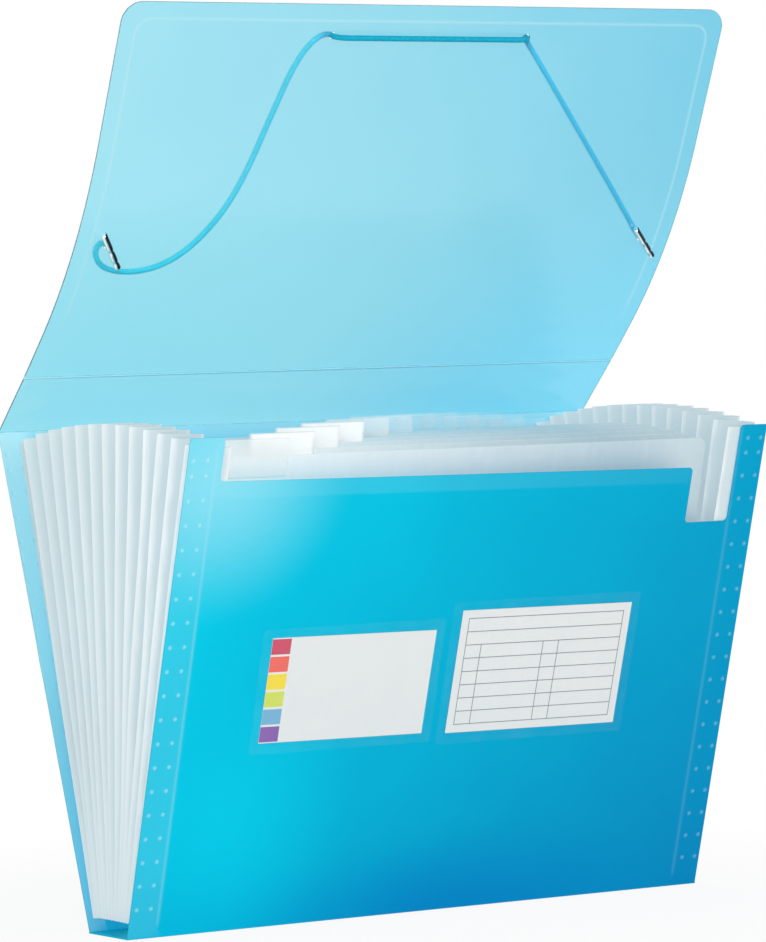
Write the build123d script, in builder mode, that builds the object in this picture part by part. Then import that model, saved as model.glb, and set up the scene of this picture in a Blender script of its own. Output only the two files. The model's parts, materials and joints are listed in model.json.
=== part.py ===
from build123d import *
import os
from math import cos, hypot, radians, sin, sqrt, tan

os.makedirs("parts", exist_ok=True)

# Accordion file folder of polypropylene sheet, standing on its base with its fan half open.
# X runs across the folder, Y from front to back and Z up. The origin lies under the middle of the base.
# A leaf is any flat sheet of the fan: leaf 0 is the front panel, the last is the back panel.

# Cover: one creased sheet, split at its living hinges into front, base, back, top strip and flap
sheet = 0.8
back_width = 330.0
front_inset = 7.0
back_foot_inset = 6.0
panel_height = 235.0
base_depth = 32.0
lean = 16.0
crease_gap = 0.2

# Front panel's cut-out: a shallow finger opening that falls to the right, with a deeper notch at that end
left_strip = 18.0
right_strip = 15.0
right_strip_drop = 4.0
cut_depth = 20.5
cut_fall = 3.8
notch_width = 24.5
notch_depth = 51.0
cut_radius = 2.0

# Top strip and flap: straight off the crease, then a gentle bend, then straight to the free edge
strip_overhang = 4.0
strip_lean = 45.0
flap_root = 24.0
flap_bend = 105.0
flap_tip = 67.0
flap_root_lean = 43.5
flap_tip_lean = 22.5
flap_corner = 10.0

# Dividers, hung between the gussets
divider_count = 12
divider_sheet = 0.5
divider_gap = 3.0
divider_drop = 13.5
divider_corner = 4.0
foot_gap = 0.3

# Index tabs: a folded clear film over a divider's top edge, with room in front for a paper label
tab_width = 34.0
tab_drop = 5.5
tab_grip = 9.5
tab_film = 0.3
tab_play = 0.05
first_label = 2
last_label = 4
label_paper = 0.25
label_margin = 0.8

# Gussets: a pleated side wall with one outward ridge to each pocket and a welded flange at each end
gusset_film = 0.3
gusset_drop = 5.0
gusset_foot = 6.0
valley_inset = 22.0
flange_inset = 3.0
ridge_depth = 20.0
pleat_stages = 6
weld_gap = 0.1

# Label sleeves welded to the front panel, and the two cards in them
card_paper = 0.3
card_play = 0.2
sleeve_film = 0.3
sleeve_margin = 5.0
sleeve_rim = 2.0
sleeve_corner = 2.0
left_card_width = 88.0
left_card_height = 50.0
left_card_x = -58.2
left_card_rise = 114.2
left_card_turn = -0.7
right_card_width = 95.0
right_card_height = 59.5
right_card_x = 46.6
right_card_rise = 117.0
right_card_turn = -0.6

# Elastic cord, its four holes in the flap and its two crimped metal barbs
cord_diameter = 2.6
cord_sides = 8
cord_play = 0.8
cord_gap = 0.5
cord_stop = 0.1
top_hole_reach = 53.5
top_hole_inset = 15.0
tie_hole_inset = 17.0
tie_hole_drop = 103.0
top_lift = 1.4
tie_lift = 2.8
barb_length = 22.0
barb_radius = 1.5
barb_waist = 1.1
barb_crimp = 3.6
barb_sides = 8
barb_gap = 0.05
barb_slip = 2.5
left_barb_turn = -55.0
right_barb_turn = -45.0

# Slack of the cord on the left, from the lower hole to the upper one: shares of the way across and up
# between the two holes, and how far each point lifts off the way that the cord lies on the flap
slack_across_shares = (
    -0.035, 0.0, 0.085, 0.212, 0.348, 0.462, 0.558, 0.632, 0.69, 0.736, 0.781, 0.82, 0.872, 0.934,
)
slack_up_shares = (
    -0.05, -0.115, -0.15, -0.158, -0.125, -0.047, 0.072, 0.208, 0.373, 0.54, 0.69, 0.818, 0.918, 0.98,
)
slack_lifts = (2.4, 0.6, 0.1, 0, 0, 0, 0, 0, 0, 0, 0, 0, 0.3, 0.8)
cord_corner_share = 0.45

pocket_count = divider_count + 1
front_width = back_width - 2 * front_inset
back_foot_width = back_width - 2 * back_foot_inset
crease_z = sheet / 2
divider_z = sheet + foot_gap + divider_sheet / 2
strip_depth = base_depth + strip_overhang
bend_start = strip_depth + flap_root
bend_end = bend_start + flap_bend
flap_length = bend_end + flap_tip
top_hole_run = flap_length - top_hole_inset
tie_hole_run = top_hole_run - tie_hole_drop
tie_hole_reach = back_width / 2 - tie_hole_inset
cut_left = left_strip - front_width / 2
cut_right = front_width / 2 - right_strip
valley_reach = front_width / 2 - valley_inset
flange_reach = front_width / 2 - flange_inset
divider_width = 2 * (valley_reach - divider_gap)
divider_height = panel_height - divider_drop
tab_rise = divider_drop - tab_drop


def fan_share(leaf):
    """Where a leaf stands in the fan: 1 at the front panel, -1 at the back panel."""
    return 1 - 2 * leaf / pocket_count


def leaf_plane(turn, place_y, place_z):
    """Plane of a sheet that leans forward by turn degrees: local Y up the sheet, local Z off its front."""
    off_front = (0, -cos(radians(turn)), -sin(radians(turn)))
    return Plane(origin=(0, place_y, place_z), x_dir=(1, 0, 0), z_dir=off_front)


def fan_leaf(leaf, pivot_z):
    """Plane of one leaf of the fan, with its origin on the leaf's bottom crease."""
    return leaf_plane(lean * fan_share(leaf), -base_depth / 2 * fan_share(leaf), pivot_z)


def across(leaf, place_x):
    """Plane square to a sheet at place_x: local X up the sheet, local Y off its front."""
    return Plane(origin=leaf.from_local_coords((place_x, 0, 0)), x_dir=leaf.y_dir, z_dir=leaf.x_dir)


front_leaf = fan_leaf(0, crease_z)
back_leaf = fan_leaf(pocket_count, crease_z)
top_crease = back_leaf.from_local_coords((0, panel_height, 0))
strip_leaf = leaf_plane(strip_lean, top_crease.Y, top_crease.Z)
flap_crease = strip_leaf.from_local_coords((0, strip_depth, 0))
bend_radius = flap_bend / radians(flap_root_lean - flap_tip_lean)


def flap_lean(run):
    """Lean of the flap, in radians, at a distance along its profile from the top crease."""
    into_bend = min(max(run, bend_start), bend_end) - bend_start
    return radians(flap_root_lean) - into_bend / bend_radius


def flap_spot(run, stand):
    """Y and Z of a point of the flap: run from the top crease along the profile, stand off its middle."""
    root, here = radians(flap_root_lean), flap_lean(run)
    before = min(run, bend_start) - strip_depth
    after = max(run, bend_end) - bend_end
    forward = before * sin(root) + bend_radius * (cos(here) - cos(root)) + after * sin(here)
    upward = before * cos(root) + bend_radius * (sin(root) - sin(here)) + after * cos(here)
    return (flap_crease.Y - forward + stand * cos(here), flap_crease.Z + upward + stand * sin(here))


def flap_plane(place_x, run, stand):
    """Plane on the flap: local X across the folder, local Y up the flap, local Z off its outer face."""
    here = flap_lean(run)
    return Plane(origin=(place_x, *flap_spot(run, stand)), x_dir=(-1, 0, 0), z_dir=(0, cos(here), sin(here)))


# Front panel, with a half-round bead along its bottom crease
with BuildPart() as front_panel:
    with BuildSketch(front_leaf) as front_outline:
        with Locations((0, panel_height / 2)):
            Rectangle(front_width, panel_height)
        with BuildLine():
            Polyline(
                (cut_left, panel_height),
                (cut_right, panel_height),
                (cut_right, panel_height - cut_depth - cut_fall),
                (cut_left, panel_height - cut_depth),
                close=True,
            )
        make_face(mode=Mode.SUBTRACT)
        with Locations((cut_right - notch_width / 2, panel_height)):
            Rectangle(notch_width, 2 * notch_depth, mode=Mode.SUBTRACT)
        with Locations(((front_width - right_strip) / 2, panel_height)):
            Rectangle(right_strip, 2 * right_strip_drop, mode=Mode.SUBTRACT)
        fillet(front_outline.vertices().sort_by(Axis.X)[2:-2], cut_radius)
    extrude(amount=sheet / 2, both=True)
    with Locations(front_leaf):
        Cylinder(sheet / 2, front_width, rotation=(0, 90, 0))
front_panel.part.label = "front_panel"
export_step(front_panel.part, "parts/front_panel.step")

# Base strip between the two bottom creases, as wide at each edge as the panel that it meets there
base_reach = base_depth / 2 - sheet / 2 - crease_gap
with BuildPart() as base_strip:
    with BuildSketch():
        with BuildLine():
            Polyline(
                (-front_width / 2, -base_reach),
                (front_width / 2, -base_reach),
                (back_foot_width / 2, base_reach),
                (-back_foot_width / 2, base_reach),
                close=True,
            )
        make_face()
    extrude(amount=sheet)
base_strip.part.label = "base_strip"
export_step(base_strip.part, "parts/base_strip.step")

# Back panel, narrower at its foot, with a bead along its bottom crease and another along its top crease
with BuildPart() as back_panel:
    with BuildSketch(back_leaf):
        with BuildLine():
            Polyline(
                (-back_foot_width / 2, 0),
                (back_foot_width / 2, 0),
                (back_width / 2, panel_height),
                (-back_width / 2, panel_height),
                close=True,
            )
        make_face()
    extrude(amount=sheet / 2, both=True)
    with Locations(back_leaf):
        Cylinder(sheet / 2, back_foot_width, rotation=(0, 90, 0))
    with Locations(back_leaf.location * Location((0, panel_height, 0))):
        Cylinder(sheet / 2, back_width, rotation=(0, 90, 0))
back_panel.part.label = "back_panel"
export_step(back_panel.part, "parts/back_panel.step")

# Top strip, which covers the shut stack, with a bead along the flap's crease
strip_start = sheet / 2 + crease_gap
with BuildPart() as top_strip:
    with BuildSketch(strip_leaf):
        with Locations((0, (strip_start + strip_depth) / 2)):
            Rectangle(back_width, strip_depth - strip_start)
    extrude(amount=sheet / 2, both=True)
    with Locations(strip_leaf.location * Location((0, strip_depth, 0))):
        Cylinder(sheet / 2, back_width, rotation=(0, 90, 0))
top_strip.part.label = "top_strip"
export_step(top_strip.part, "parts/top_strip.step")

# Flap: its bent profile drawn across the folder, its free corners rounded, its cord holes cut through
flap_start = strip_depth + sheet / 2 + crease_gap
bend_middle = (bend_start + bend_end) / 2
hole_through = 4 * sheet
with BuildPart() as flap:
    with BuildSketch(Plane.YZ):
        with BuildLine():
            for side in (-sheet / 2, sheet / 2):
                Line(flap_spot(flap_start, side), flap_spot(bend_start, side))
                ThreePointArc(*(flap_spot(run, side) for run in (bend_start, bend_middle, bend_end)))
                Line(flap_spot(bend_end, side), flap_spot(flap_length, side))
            for run in (flap_start, flap_length):
                Line(flap_spot(run, -sheet / 2), flap_spot(run, sheet / 2))
        make_face()
    extrude(amount=back_width / 2, both=True)
    fillet(flap.faces().sort_by(Axis.Z)[-1].edges().sort_by(SortBy.LENGTH)[:2], flap_corner)
    for reach, run in ((top_hole_reach, top_hole_run), (tie_hole_reach, tie_hole_run)):
        with Locations(flap_plane(-reach, run, 0), flap_plane(reach, run, 0)):
            Cylinder((cord_diameter + cord_play) / 2, hole_through, mode=Mode.SUBTRACT)
flap.part.label = "flap"
export_step(flap.part, "parts/flap.step")


# Dividers with their index tabs, stepped across the folder from the front left to the back right
tab_back = divider_sheet / 2 + tab_play
tab_front = tab_back + label_paper + tab_play
tab_room = tab_front + tab_back
tab_middle = (tab_front - tab_back) / 2
tab_height = tab_rise + tab_grip
tab_step = (divider_width - tab_width) / (divider_count - 1)
label_height = tab_height - tab_film - 2 * tab_play
for number in range(1, divider_count + 1):
    leaf = fan_leaf(number, divider_z)
    tab_x = (number - 1) * tab_step - (divider_width - tab_width) / 2

    with BuildPart() as divider:
        with BuildSketch(leaf) as divider_outline:
            with Locations((0, divider_height / 2)):
                Rectangle(divider_width, divider_height)
            fillet(divider_outline.vertices().group_by(Axis.Y)[-1], divider_corner)
        extrude(amount=divider_sheet / 2, both=True)
        with Locations(leaf):
            Cylinder(divider_sheet / 2, divider_width, rotation=(0, 90, 0))
    divider.part.label = f"divider_{number:02d}"
    export_step(divider.part, f"parts/divider_{number:02d}.step")

    with BuildPart() as tab:
        with BuildSketch(across(leaf, tab_x)) as tab_fold:
            with Locations((divider_height + tab_rise - tab_height / 2, tab_middle)):
                Rectangle(tab_height, tab_room + 2 * tab_film)
            fillet(tab_fold.vertices().group_by(Axis.X)[-1], tab_room / 2)
            with Locations((divider_height + tab_rise - tab_height / 2 - tab_film, tab_middle)):
                Rectangle(tab_height, tab_room, mode=Mode.SUBTRACT)
        extrude(amount=tab_width / 2, both=True)
    tab.part.label = f"index_tab_{number:02d}"
    export_step(tab.part, f"parts/index_tab_{number:02d}.step")

    if first_label <= number <= last_label:
        with BuildPart() as label:
            with BuildSketch(leaf.offset(tab_back + label_paper / 2)):
                with Locations((tab_x, divider_height - tab_grip + tab_play + label_height / 2)):
                    Rectangle(tab_width - 2 * label_margin, label_height)
            extrude(amount=label_paper / 2, both=True)
        label.part.label = f"tab_label_{number:02d}"
        export_step(label.part, f"parts/tab_label_{number:02d}.step")


# Every leg of a pleat is as long as it is at the fan's top, where the ridges stand out least
top_pitch = (base_depth + 2 * panel_height * sin(radians(lean))) / pocket_count
pleat_leg = hypot(top_pitch / 2, ridge_depth)


def fold_line(height):
    """Middle line of a pleated wall at one height: flange, then a valley and a ridge to each pocket."""
    rows = []
    for leaf in range(pocket_count + 1):
        pivot_z = crease_z if leaf in (0, pocket_count) else divider_z
        turn = radians(lean * fan_share(leaf))
        rows.append(-base_depth / 2 * fan_share(leaf) - (height - pivot_z) * tan(turn))
    weld_stand = (sheet / 2 + weld_gap + gusset_film / 2) / cos(radians(lean))
    rows[0] += weld_stand
    rows[-1] -= weld_stand
    line = [(flange_reach, rows[0])]
    for near, far in zip(rows, rows[1:]):
        line.append((valley_reach, near))
        line.append((valley_reach + sqrt(pleat_leg**2 - ((far - near) / 2) ** 2), (near + far) / 2))
    line.append((valley_reach, rows[-1]))
    line.append((flange_reach, rows[-1]))
    return line


def film_edge(line, stand):
    """One face of a folded film: the line moved sideways by stand, with its folds mitred."""
    normals = []
    for (x0, y0), (x1, y1) in zip(line, line[1:]):
        length = hypot(x1 - x0, y1 - y0)
        normals.append(((y0 - y1) / length, (x1 - x0) / length))
    before = [normals[0], *normals]
    after = [*normals, normals[-1]]
    edge = []
    for (x, y), (ax, ay), (bx, by) in zip(line, before, after):
        mitre = stand / (1 + ax * bx + ay * by)
        edge.append((x + (ax + bx) * mitre, y + (ay + by) * mitre))
    return edge


def pleat_outline(height, side):
    """Closed outline of a pleated wall at one height, on the folder's left (-1) or right (1) side."""
    line = fold_line(height)
    edges = film_edge(line, gusset_film / 2) + film_edge(line, -gusset_film / 2)[::-1]
    return [(side * x, y) for x, y in edges]


# Gussets: lofted in stages that keep each leg's length, with tops that follow the arc of the leaves' tops
fan_ceiling = panel_height + sheet
for name, side in (("left_gusset", -1), ("right_gusset", 1)):
    with BuildPart() as gusset:
        for stage in range(pleat_stages + 1):
            height = gusset_foot + (fan_ceiling - gusset_foot) * stage / pleat_stages
            with BuildSketch(Plane.XY.offset(height)):
                with BuildLine():
                    Polyline(*pleat_outline(height, side), close=True)
                make_face()
        loft(ruled=True)
        with BuildSketch(Plane.YZ):
            with BuildLine():
                tops = [fan_leaf(leaf, crease_z) for leaf in range(pocket_count + 1)]
                tops = [leaf.from_local_coords((0, panel_height - gusset_drop, 0)) for leaf in tops]
                Polyline(
                    (-panel_height, 0),
                    (-panel_height, tops[0].Z),
                    *[(top.Y, top.Z) for top in tops],
                    (panel_height, tops[-1].Z),
                    (panel_height, 0),
                    close=True,
                )
            make_face()
        extrude(amount=back_width, both=True, mode=Mode.INTERSECT)
    gusset.part.label = name
    export_step(gusset.part, f"parts/{name}.step")

# Label sleeves on the front panel's face, welded round three sides and open at the top, with their cards
card_room = card_paper + card_play
for name, width, height, place_x, rise, turn in (
    ("left", left_card_width, left_card_height, left_card_x, left_card_rise, left_card_turn),
    ("right", right_card_width, right_card_height, right_card_x, right_card_rise, right_card_turn),
):
    sleeve_width = width + 2 * sleeve_margin
    sleeve_height = height + 2 * sleeve_margin
    with BuildPart() as sleeve:
        with BuildSketch(front_leaf.offset(sheet / 2)):
            with Locations((place_x, rise)):
                RectangleRounded(sleeve_width, sleeve_height, sleeve_corner)
        extrude(amount=card_room + sleeve_film)
        with BuildSketch(front_leaf.offset(sheet / 2)):
            with Locations((place_x, rise + sleeve_rim)):
                Rectangle(sleeve_width - 2 * sleeve_rim, sleeve_height)
        extrude(amount=card_room, mode=Mode.SUBTRACT)
    sleeve.part.label = f"{name}_sleeve"
    export_step(sleeve.part, f"parts/{name}_sleeve.step")

    with BuildPart() as card:
        with BuildSketch(front_leaf.offset(sheet / 2 + card_room / 2)):
            with Locations((place_x, rise)):
                Rectangle(width, height, rotation=turn)
        extrude(amount=card_paper / 2, both=True)
    card.part.label = f"{name}_card"
    export_step(card.part, f"parts/{name}_card.step")

# Elastic cord: slack up the left side, inside the flap across the top, taut down the right side, as
# straight runs joined by arcs as large as the runs beside them allow
cord_lie = sheet / 2 + cord_gap + cord_diameter / 2
cord_tail = -(sheet / 2 + cord_stop)
cord_rise = cord_lie + tie_lift
cord_route = [(-tie_hole_reach, tie_hole_run, cord_tail), (-tie_hole_reach, tie_hole_run, cord_rise)]
for across_share, up_share, lift in zip(slack_across_shares, slack_up_shares, slack_lifts):
    slack_x = across_share * (tie_hole_reach - top_hole_reach) - tie_hole_reach
    cord_route.append((slack_x, tie_hole_run + up_share * tie_hole_drop, cord_lie + lift))
for place_x in (-top_hole_reach, top_hole_reach):
    through = (cord_lie + top_lift, -cord_lie - top_lift)
    for stand in through if place_x < 0 else through[::-1]:
        cord_route.append((place_x, top_hole_run, stand))
cord_route.append((tie_hole_reach, tie_hole_run, cord_rise))
cord_route.append((tie_hole_reach, tie_hole_run, cord_tail))
route = [Vector(place_x, *flap_spot(run, stand)) for place_x, run, stand in cord_route]
runs = [end - start for start, end in zip(route, route[1:])]
radii = []
for before, after in zip(runs, runs[1:]):
    turn = radians(before.get_angle(after))
    radii.append(cord_corner_share * min(before.length, after.length) / tan(turn / 2))
print("cord radii", [round(radius, 1) for radius in radii])
with BuildPart() as elastic_cord:
    with BuildLine() as cord_line:
        FilletPolyline(*route, radius=radii)
    with BuildSketch(Plane(origin=route[0], z_dir=runs[0])) as cord_section:
        RegularPolygon(cord_diameter / 2, cord_sides)
    sweep()
elastic_cord.part.label = "elastic_cord"
export_step(elastic_cord.part, "parts/elastic_cord.step")
cord_length = sum(edge.length for edge in cord_line.edges())
cord_bulk = cord_length * cord_section.sketch.area
print("cord length", cord_length, "volume share", elastic_cord.part.volume / cord_bulk)

# Crimped metal barbs, flat against the flap's inner face over the lower holes
barb_stand = cord_tail - barb_gap - barb_radius
for name, place_x, turn in (
    ("left_barb", -tie_hole_reach, left_barb_turn),
    ("right_barb", tie_hole_reach, right_barb_turn),
):
    seat = flap_plane(place_x, tie_hole_run, barb_stand)
    along = Vector(cos(radians(turn)), 0, 0) + seat.y_dir * sin(radians(turn))
    half = barb_length / 2
    with BuildPart() as barb:
        for place, radius in (
            (-half, barb_waist),
            (-half + (barb_radius - barb_waist), barb_radius),
            (-barb_crimp, barb_radius),
            (0, barb_waist),
            (barb_crimp, barb_radius),
            (2 * barb_crimp, barb_waist),
            (half, barb_radius),
        ):
            middle = seat.origin + along * (barb_slip + place)
            with BuildSketch(Plane(origin=middle, x_dir=seat.z_dir, z_dir=along)):
                RegularPolygon(radius, barb_sides)
        loft(ruled=True)
    barb.part.label = name
    export_step(barb.part, f"parts/{name}.step")
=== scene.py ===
"""Accordion file folder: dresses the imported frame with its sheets, pleats, tabs, cards and cord."""

from __future__ import annotations

import json
import logging
import math
from collections.abc import Callable
from dataclasses import dataclass
from enum import Enum
from functools import partial

import bpy
import numpy as np
from mathutils import Matrix, Vector
from mathutils.geometry import delaunay_2d_cdt

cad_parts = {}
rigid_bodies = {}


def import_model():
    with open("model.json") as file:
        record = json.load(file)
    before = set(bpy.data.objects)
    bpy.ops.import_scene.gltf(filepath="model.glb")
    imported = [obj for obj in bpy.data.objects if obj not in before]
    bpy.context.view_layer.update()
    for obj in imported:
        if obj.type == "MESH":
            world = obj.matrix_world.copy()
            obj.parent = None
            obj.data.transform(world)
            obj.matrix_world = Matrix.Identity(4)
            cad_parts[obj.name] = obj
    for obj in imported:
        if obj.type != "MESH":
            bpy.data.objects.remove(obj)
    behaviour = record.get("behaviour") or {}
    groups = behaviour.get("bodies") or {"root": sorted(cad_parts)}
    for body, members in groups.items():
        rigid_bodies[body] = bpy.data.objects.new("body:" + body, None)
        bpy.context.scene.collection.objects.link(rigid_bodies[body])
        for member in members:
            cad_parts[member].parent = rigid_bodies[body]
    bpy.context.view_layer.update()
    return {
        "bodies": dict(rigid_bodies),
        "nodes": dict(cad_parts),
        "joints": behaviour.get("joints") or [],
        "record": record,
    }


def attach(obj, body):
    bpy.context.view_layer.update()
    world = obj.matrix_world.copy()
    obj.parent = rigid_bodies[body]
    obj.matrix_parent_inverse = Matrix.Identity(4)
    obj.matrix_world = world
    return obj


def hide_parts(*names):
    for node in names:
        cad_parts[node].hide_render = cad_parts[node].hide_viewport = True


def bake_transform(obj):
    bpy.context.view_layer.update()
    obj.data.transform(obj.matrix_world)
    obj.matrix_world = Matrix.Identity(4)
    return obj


Tree = bpy.types.NodeTree
Node = bpy.types.Node
Socket = bpy.types.NodeSocket
Material = bpy.types.Material
Pair = tuple[float, float]
Spot = tuple[float, float, float]
Stops = tuple[tuple[float, str], ...]
Shape = tuple[np.ndarray, np.ndarray]
Place = Callable[[np.ndarray, np.ndarray, np.ndarray], np.ndarray]

LOG = logging.getLogger("folder")
MM = 0.001
SHARP_DEG = 40.0
ARC_STEPS = 6
POLYPROPYLENE_IOR = 1.49
VINYL_IOR = 1.53
WHITE = "#FFFFFF"

# Settings that several nodes share
COLOURS = {"data_type": "RGBA"}
EASED = {"interpolation_type": "SMOOTHSTEP"}
DOT = {"operation": "DOT_PRODUCT"}
LARGER = {"operation": "MAXIMUM"}
ADDED = {"operation": "ADD"}
SCALED = {"operation": "MULTIPLY_ADD"}

# Blender's code for a triangulation that leaves its holes empty, and the gap at which it joins points
INSIDE_WITH_HOLES = 2
JOIN_GAP = 1e-6


class Side(Enum):
    """The two sides of the folder, as the sign of X."""

    LEFT = -1
    RIGHT = 1

    @property
    def word(self) -> str:
        """The side's name in lower case."""
        return self.name.lower()


def linear(code: str) -> tuple[float, float, float, float]:
    """Turns an sRGB hex colour into linear light.

    Args:
        code: Six hex digits with a leading hash.

    Returns:
        Red, green, blue and an alpha of 1.
    """
    share = np.array([int(code[i : i + 2], 16) for i in (1, 3, 5)]) / 255
    light = np.where(share <= 0.04045, share / 12.92, ((share + 0.055) / 1.055) ** 2.4)
    return (*light.tolist(), 1.0)


def feed(node: Node, **inputs: object) -> None:
    """Sets or links inputs of a shader node.

    Args:
        node: The node.
        inputs: Sockets by name, with underscores for spaces, or by place as i0, i1 and so on. A value is
            a constant or another node's output.
    """
    for name, value in inputs.items():
        key = int(name[1:]) if name[0] == "i" and name[1:].isdigit() else name.replace("_", " ")
        if isinstance(value, Socket):
            node.id_data.links.new(value, node.inputs[key])
        else:
            node.inputs[key].default_value = value


def add_node(tree: Tree, kind: str, settings: dict | None = None, **inputs: object) -> Node:
    """Adds one shader node.

    Args:
        tree: The node tree that takes it.
        kind: The node's type name without its ShaderNode prefix.
        settings: Attributes of the node itself.
        inputs: Its inputs, as feed takes them.

    Returns:
        The new node.
    """
    node = tree.nodes.new("ShaderNode" + kind)
    for name, value in (settings or {}).items():
        setattr(node, name, value)
    feed(node, **inputs)
    return node


def set_ramp(node: Node, stops: dict[float, str]) -> None:
    """Gives a colour ramp its stops.

    Args:
        node: The colour ramp node.
        stops: Hex colours by place from 0 to 1.
    """
    elements = node.color_ramp.elements
    places = sorted(stops)
    elements[0].position, elements[1].position = places[0], places[-1]
    for place in places[1:-1]:
        elements.new(place)
    for element, place in zip(elements, places):
        element.color = linear(stops[place])


def grain(tree: Tree, where: Socket, size_mm: float, detail: float, stretch: Spot = (1, 1, 1)) -> Socket:
    """Adds a noise whose lumps have a real size.

    Args:
        tree: The material's nodes.
        where: Coordinates in metres.
        size_mm: Width of a lump.
        detail: Octaves of finer noise.
        stretch: How many times longer the lumps are along X, Y and Z.

    Returns:
        The noise value from 0 to 1.
    """
    scale = tuple(1 / (size_mm * MM * along) for along in stretch)
    mapped = add_node(tree, "Mapping", Vector=where, Scale=scale)
    return add_node(tree, "TexNoise", Vector=mapped.outputs[0], Scale=1.0, Detail=detail).outputs["Fac"]


@dataclass(frozen=True)
class Finish:
    """A finish on one Principled shader, with Object coordinates to hand."""

    name: str

    def make(self) -> Material:
        """Builds the material.

        Returns:
            The new material.
        """
        material = bpy.data.materials.new(self.name)
        material.use_nodes = True
        tree = material.node_tree
        tree.nodes.clear()
        shader = add_node(tree, "BsdfPrincipled")
        add_node(tree, "OutputMaterial", Surface=shader.outputs[0])
        self.dress(tree, shader, add_node(tree, "TexCoord").outputs["Object"])
        return material

    def dress(self, tree: Tree, shader: Node, where: Socket) -> None:
        """Adds the finish's own nodes and settings.

        Args:
            tree: The material's nodes.
            shader: Its Principled shader.
            where: Object coordinates in metres.
        """
        raise NotImplementedError


@dataclass(frozen=True)
class Cloud:
    """A soft patch of painted light, another tint in a sheet, in millimetres, with each axis weighed by its
    stretch.
    """

    tint: str
    spot: Spot
    reach: float
    stretch: Spot = (1.0, 1.0, 1.0)

    def near(self, tree: Tree, where: Socket) -> Socket:
        """Works out how much of the cloud's tint a place takes.

        Args:
            tree: The material's nodes.
            where: Object coordinates in metres.

        Returns:
            1 at the cloud's spot, eased to 0 at its reach.
        """
        spot = tuple(length * MM for length in self.spot)
        aside = add_node(tree, "VectorMath", {"operation": "SUBTRACT"}, i0=where, i1=spot).outputs["Vector"]
        weighed = add_node(tree, "VectorMath", {"operation": "MULTIPLY"}, i0=aside, i1=self.stretch)
        gap = add_node(tree, "VectorMath", {"operation": "LENGTH"}, i0=weighed.outputs["Vector"])
        limits = {"From_Min": 0.0, "From_Max": self.reach * MM, "To_Min": 1.0, "To_Max": 0.0}
        return add_node(tree, "MapRange", EASED, Value=gap.outputs["Value"], **limits).outputs[0]


@dataclass(frozen=True)
class BlueSheet(Finish):
    """Polypropylene sheet, extruded with a satin face: tinted, with painted light and shade in the tint,
    hazy, and paler where it is welded.
    """

    stops: Stops
    along: Spot
    start: float
    clouds: tuple[Cloud, ...] = ()
    see_through: float = 0.0
    weld: str = "#BFEBF4"
    haze_mm: float = 55.0
    haze: float = 0.16
    # The satin grain is too fine to show, so it is drawn this coarse
    peel_mm: float = 1.1
    peel: float = 0.08
    peel_depth_mm: float = 0.2
    roughness: float = 0.34
    gloss: float = 0.05

    def dress(self, tree: Tree, shader: Node, where: Socket) -> None:
        """Runs the tint from pale to deep along one direction and clouds it, as painted light and shade, and
        pales the welds.

        Args:
            tree: The material's nodes.
            shader: Its Principled shader.
            where: Object coordinates in metres.
        """
        # Painted light and shade: the tint runs from pale to deep as the light falls, and the clouds are
        # painted light
        run = add_node(tree, "VectorMath", DOT, i0=where, i1=self.along).outputs["Value"]
        mottle = grain(tree, where, self.haze_mm, detail=2.0)
        drift = add_node(tree, "Math", SCALED, i0=mottle, i1=self.haze, i2=self.start - self.haze / 2)
        level = add_node(tree, "Math", ADDED, i0=run, i1=drift.outputs[0])
        ramp = add_node(tree, "ValToRGB", Fac=level.outputs[0])
        set_ramp(ramp, dict(self.stops))
        tint = ramp.outputs[0]
        for cloud in self.clouds:
            near = cloud.near(tree, where)
            tint = add_node(tree, "Mix", COLOURS, i0=near, i6=tint, i7=linear(cloud.tint)).outputs[2]
        # The weld attribute also carries a painted highlight on the weld dots' domes
        pale = add_node(tree, "Attribute", {"attribute_name": "weld"}).outputs["Fac"]
        tint = add_node(tree, "Mix", COLOURS, i0=pale, i6=tint, i7=linear(self.weld)).outputs[2]
        feed(shader, Base_Color=tint, Roughness=self.roughness, IOR=POLYPROPYLENE_IOR)
        feed(shader, Transmission_Weight=self.see_through, Specular_IOR_Level=self.gloss)
        # A clear sheet is polished, so only the hazy ones have the grain
        if not self.see_through:
            peel = grain(tree, where, self.peel_mm, detail=1.0)
            bump = add_node(tree, "Bump", Height=peel, Strength=self.peel, Distance=self.peel_depth_mm * MM)
            feed(shader, Normal=bump.outputs[0])


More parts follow.
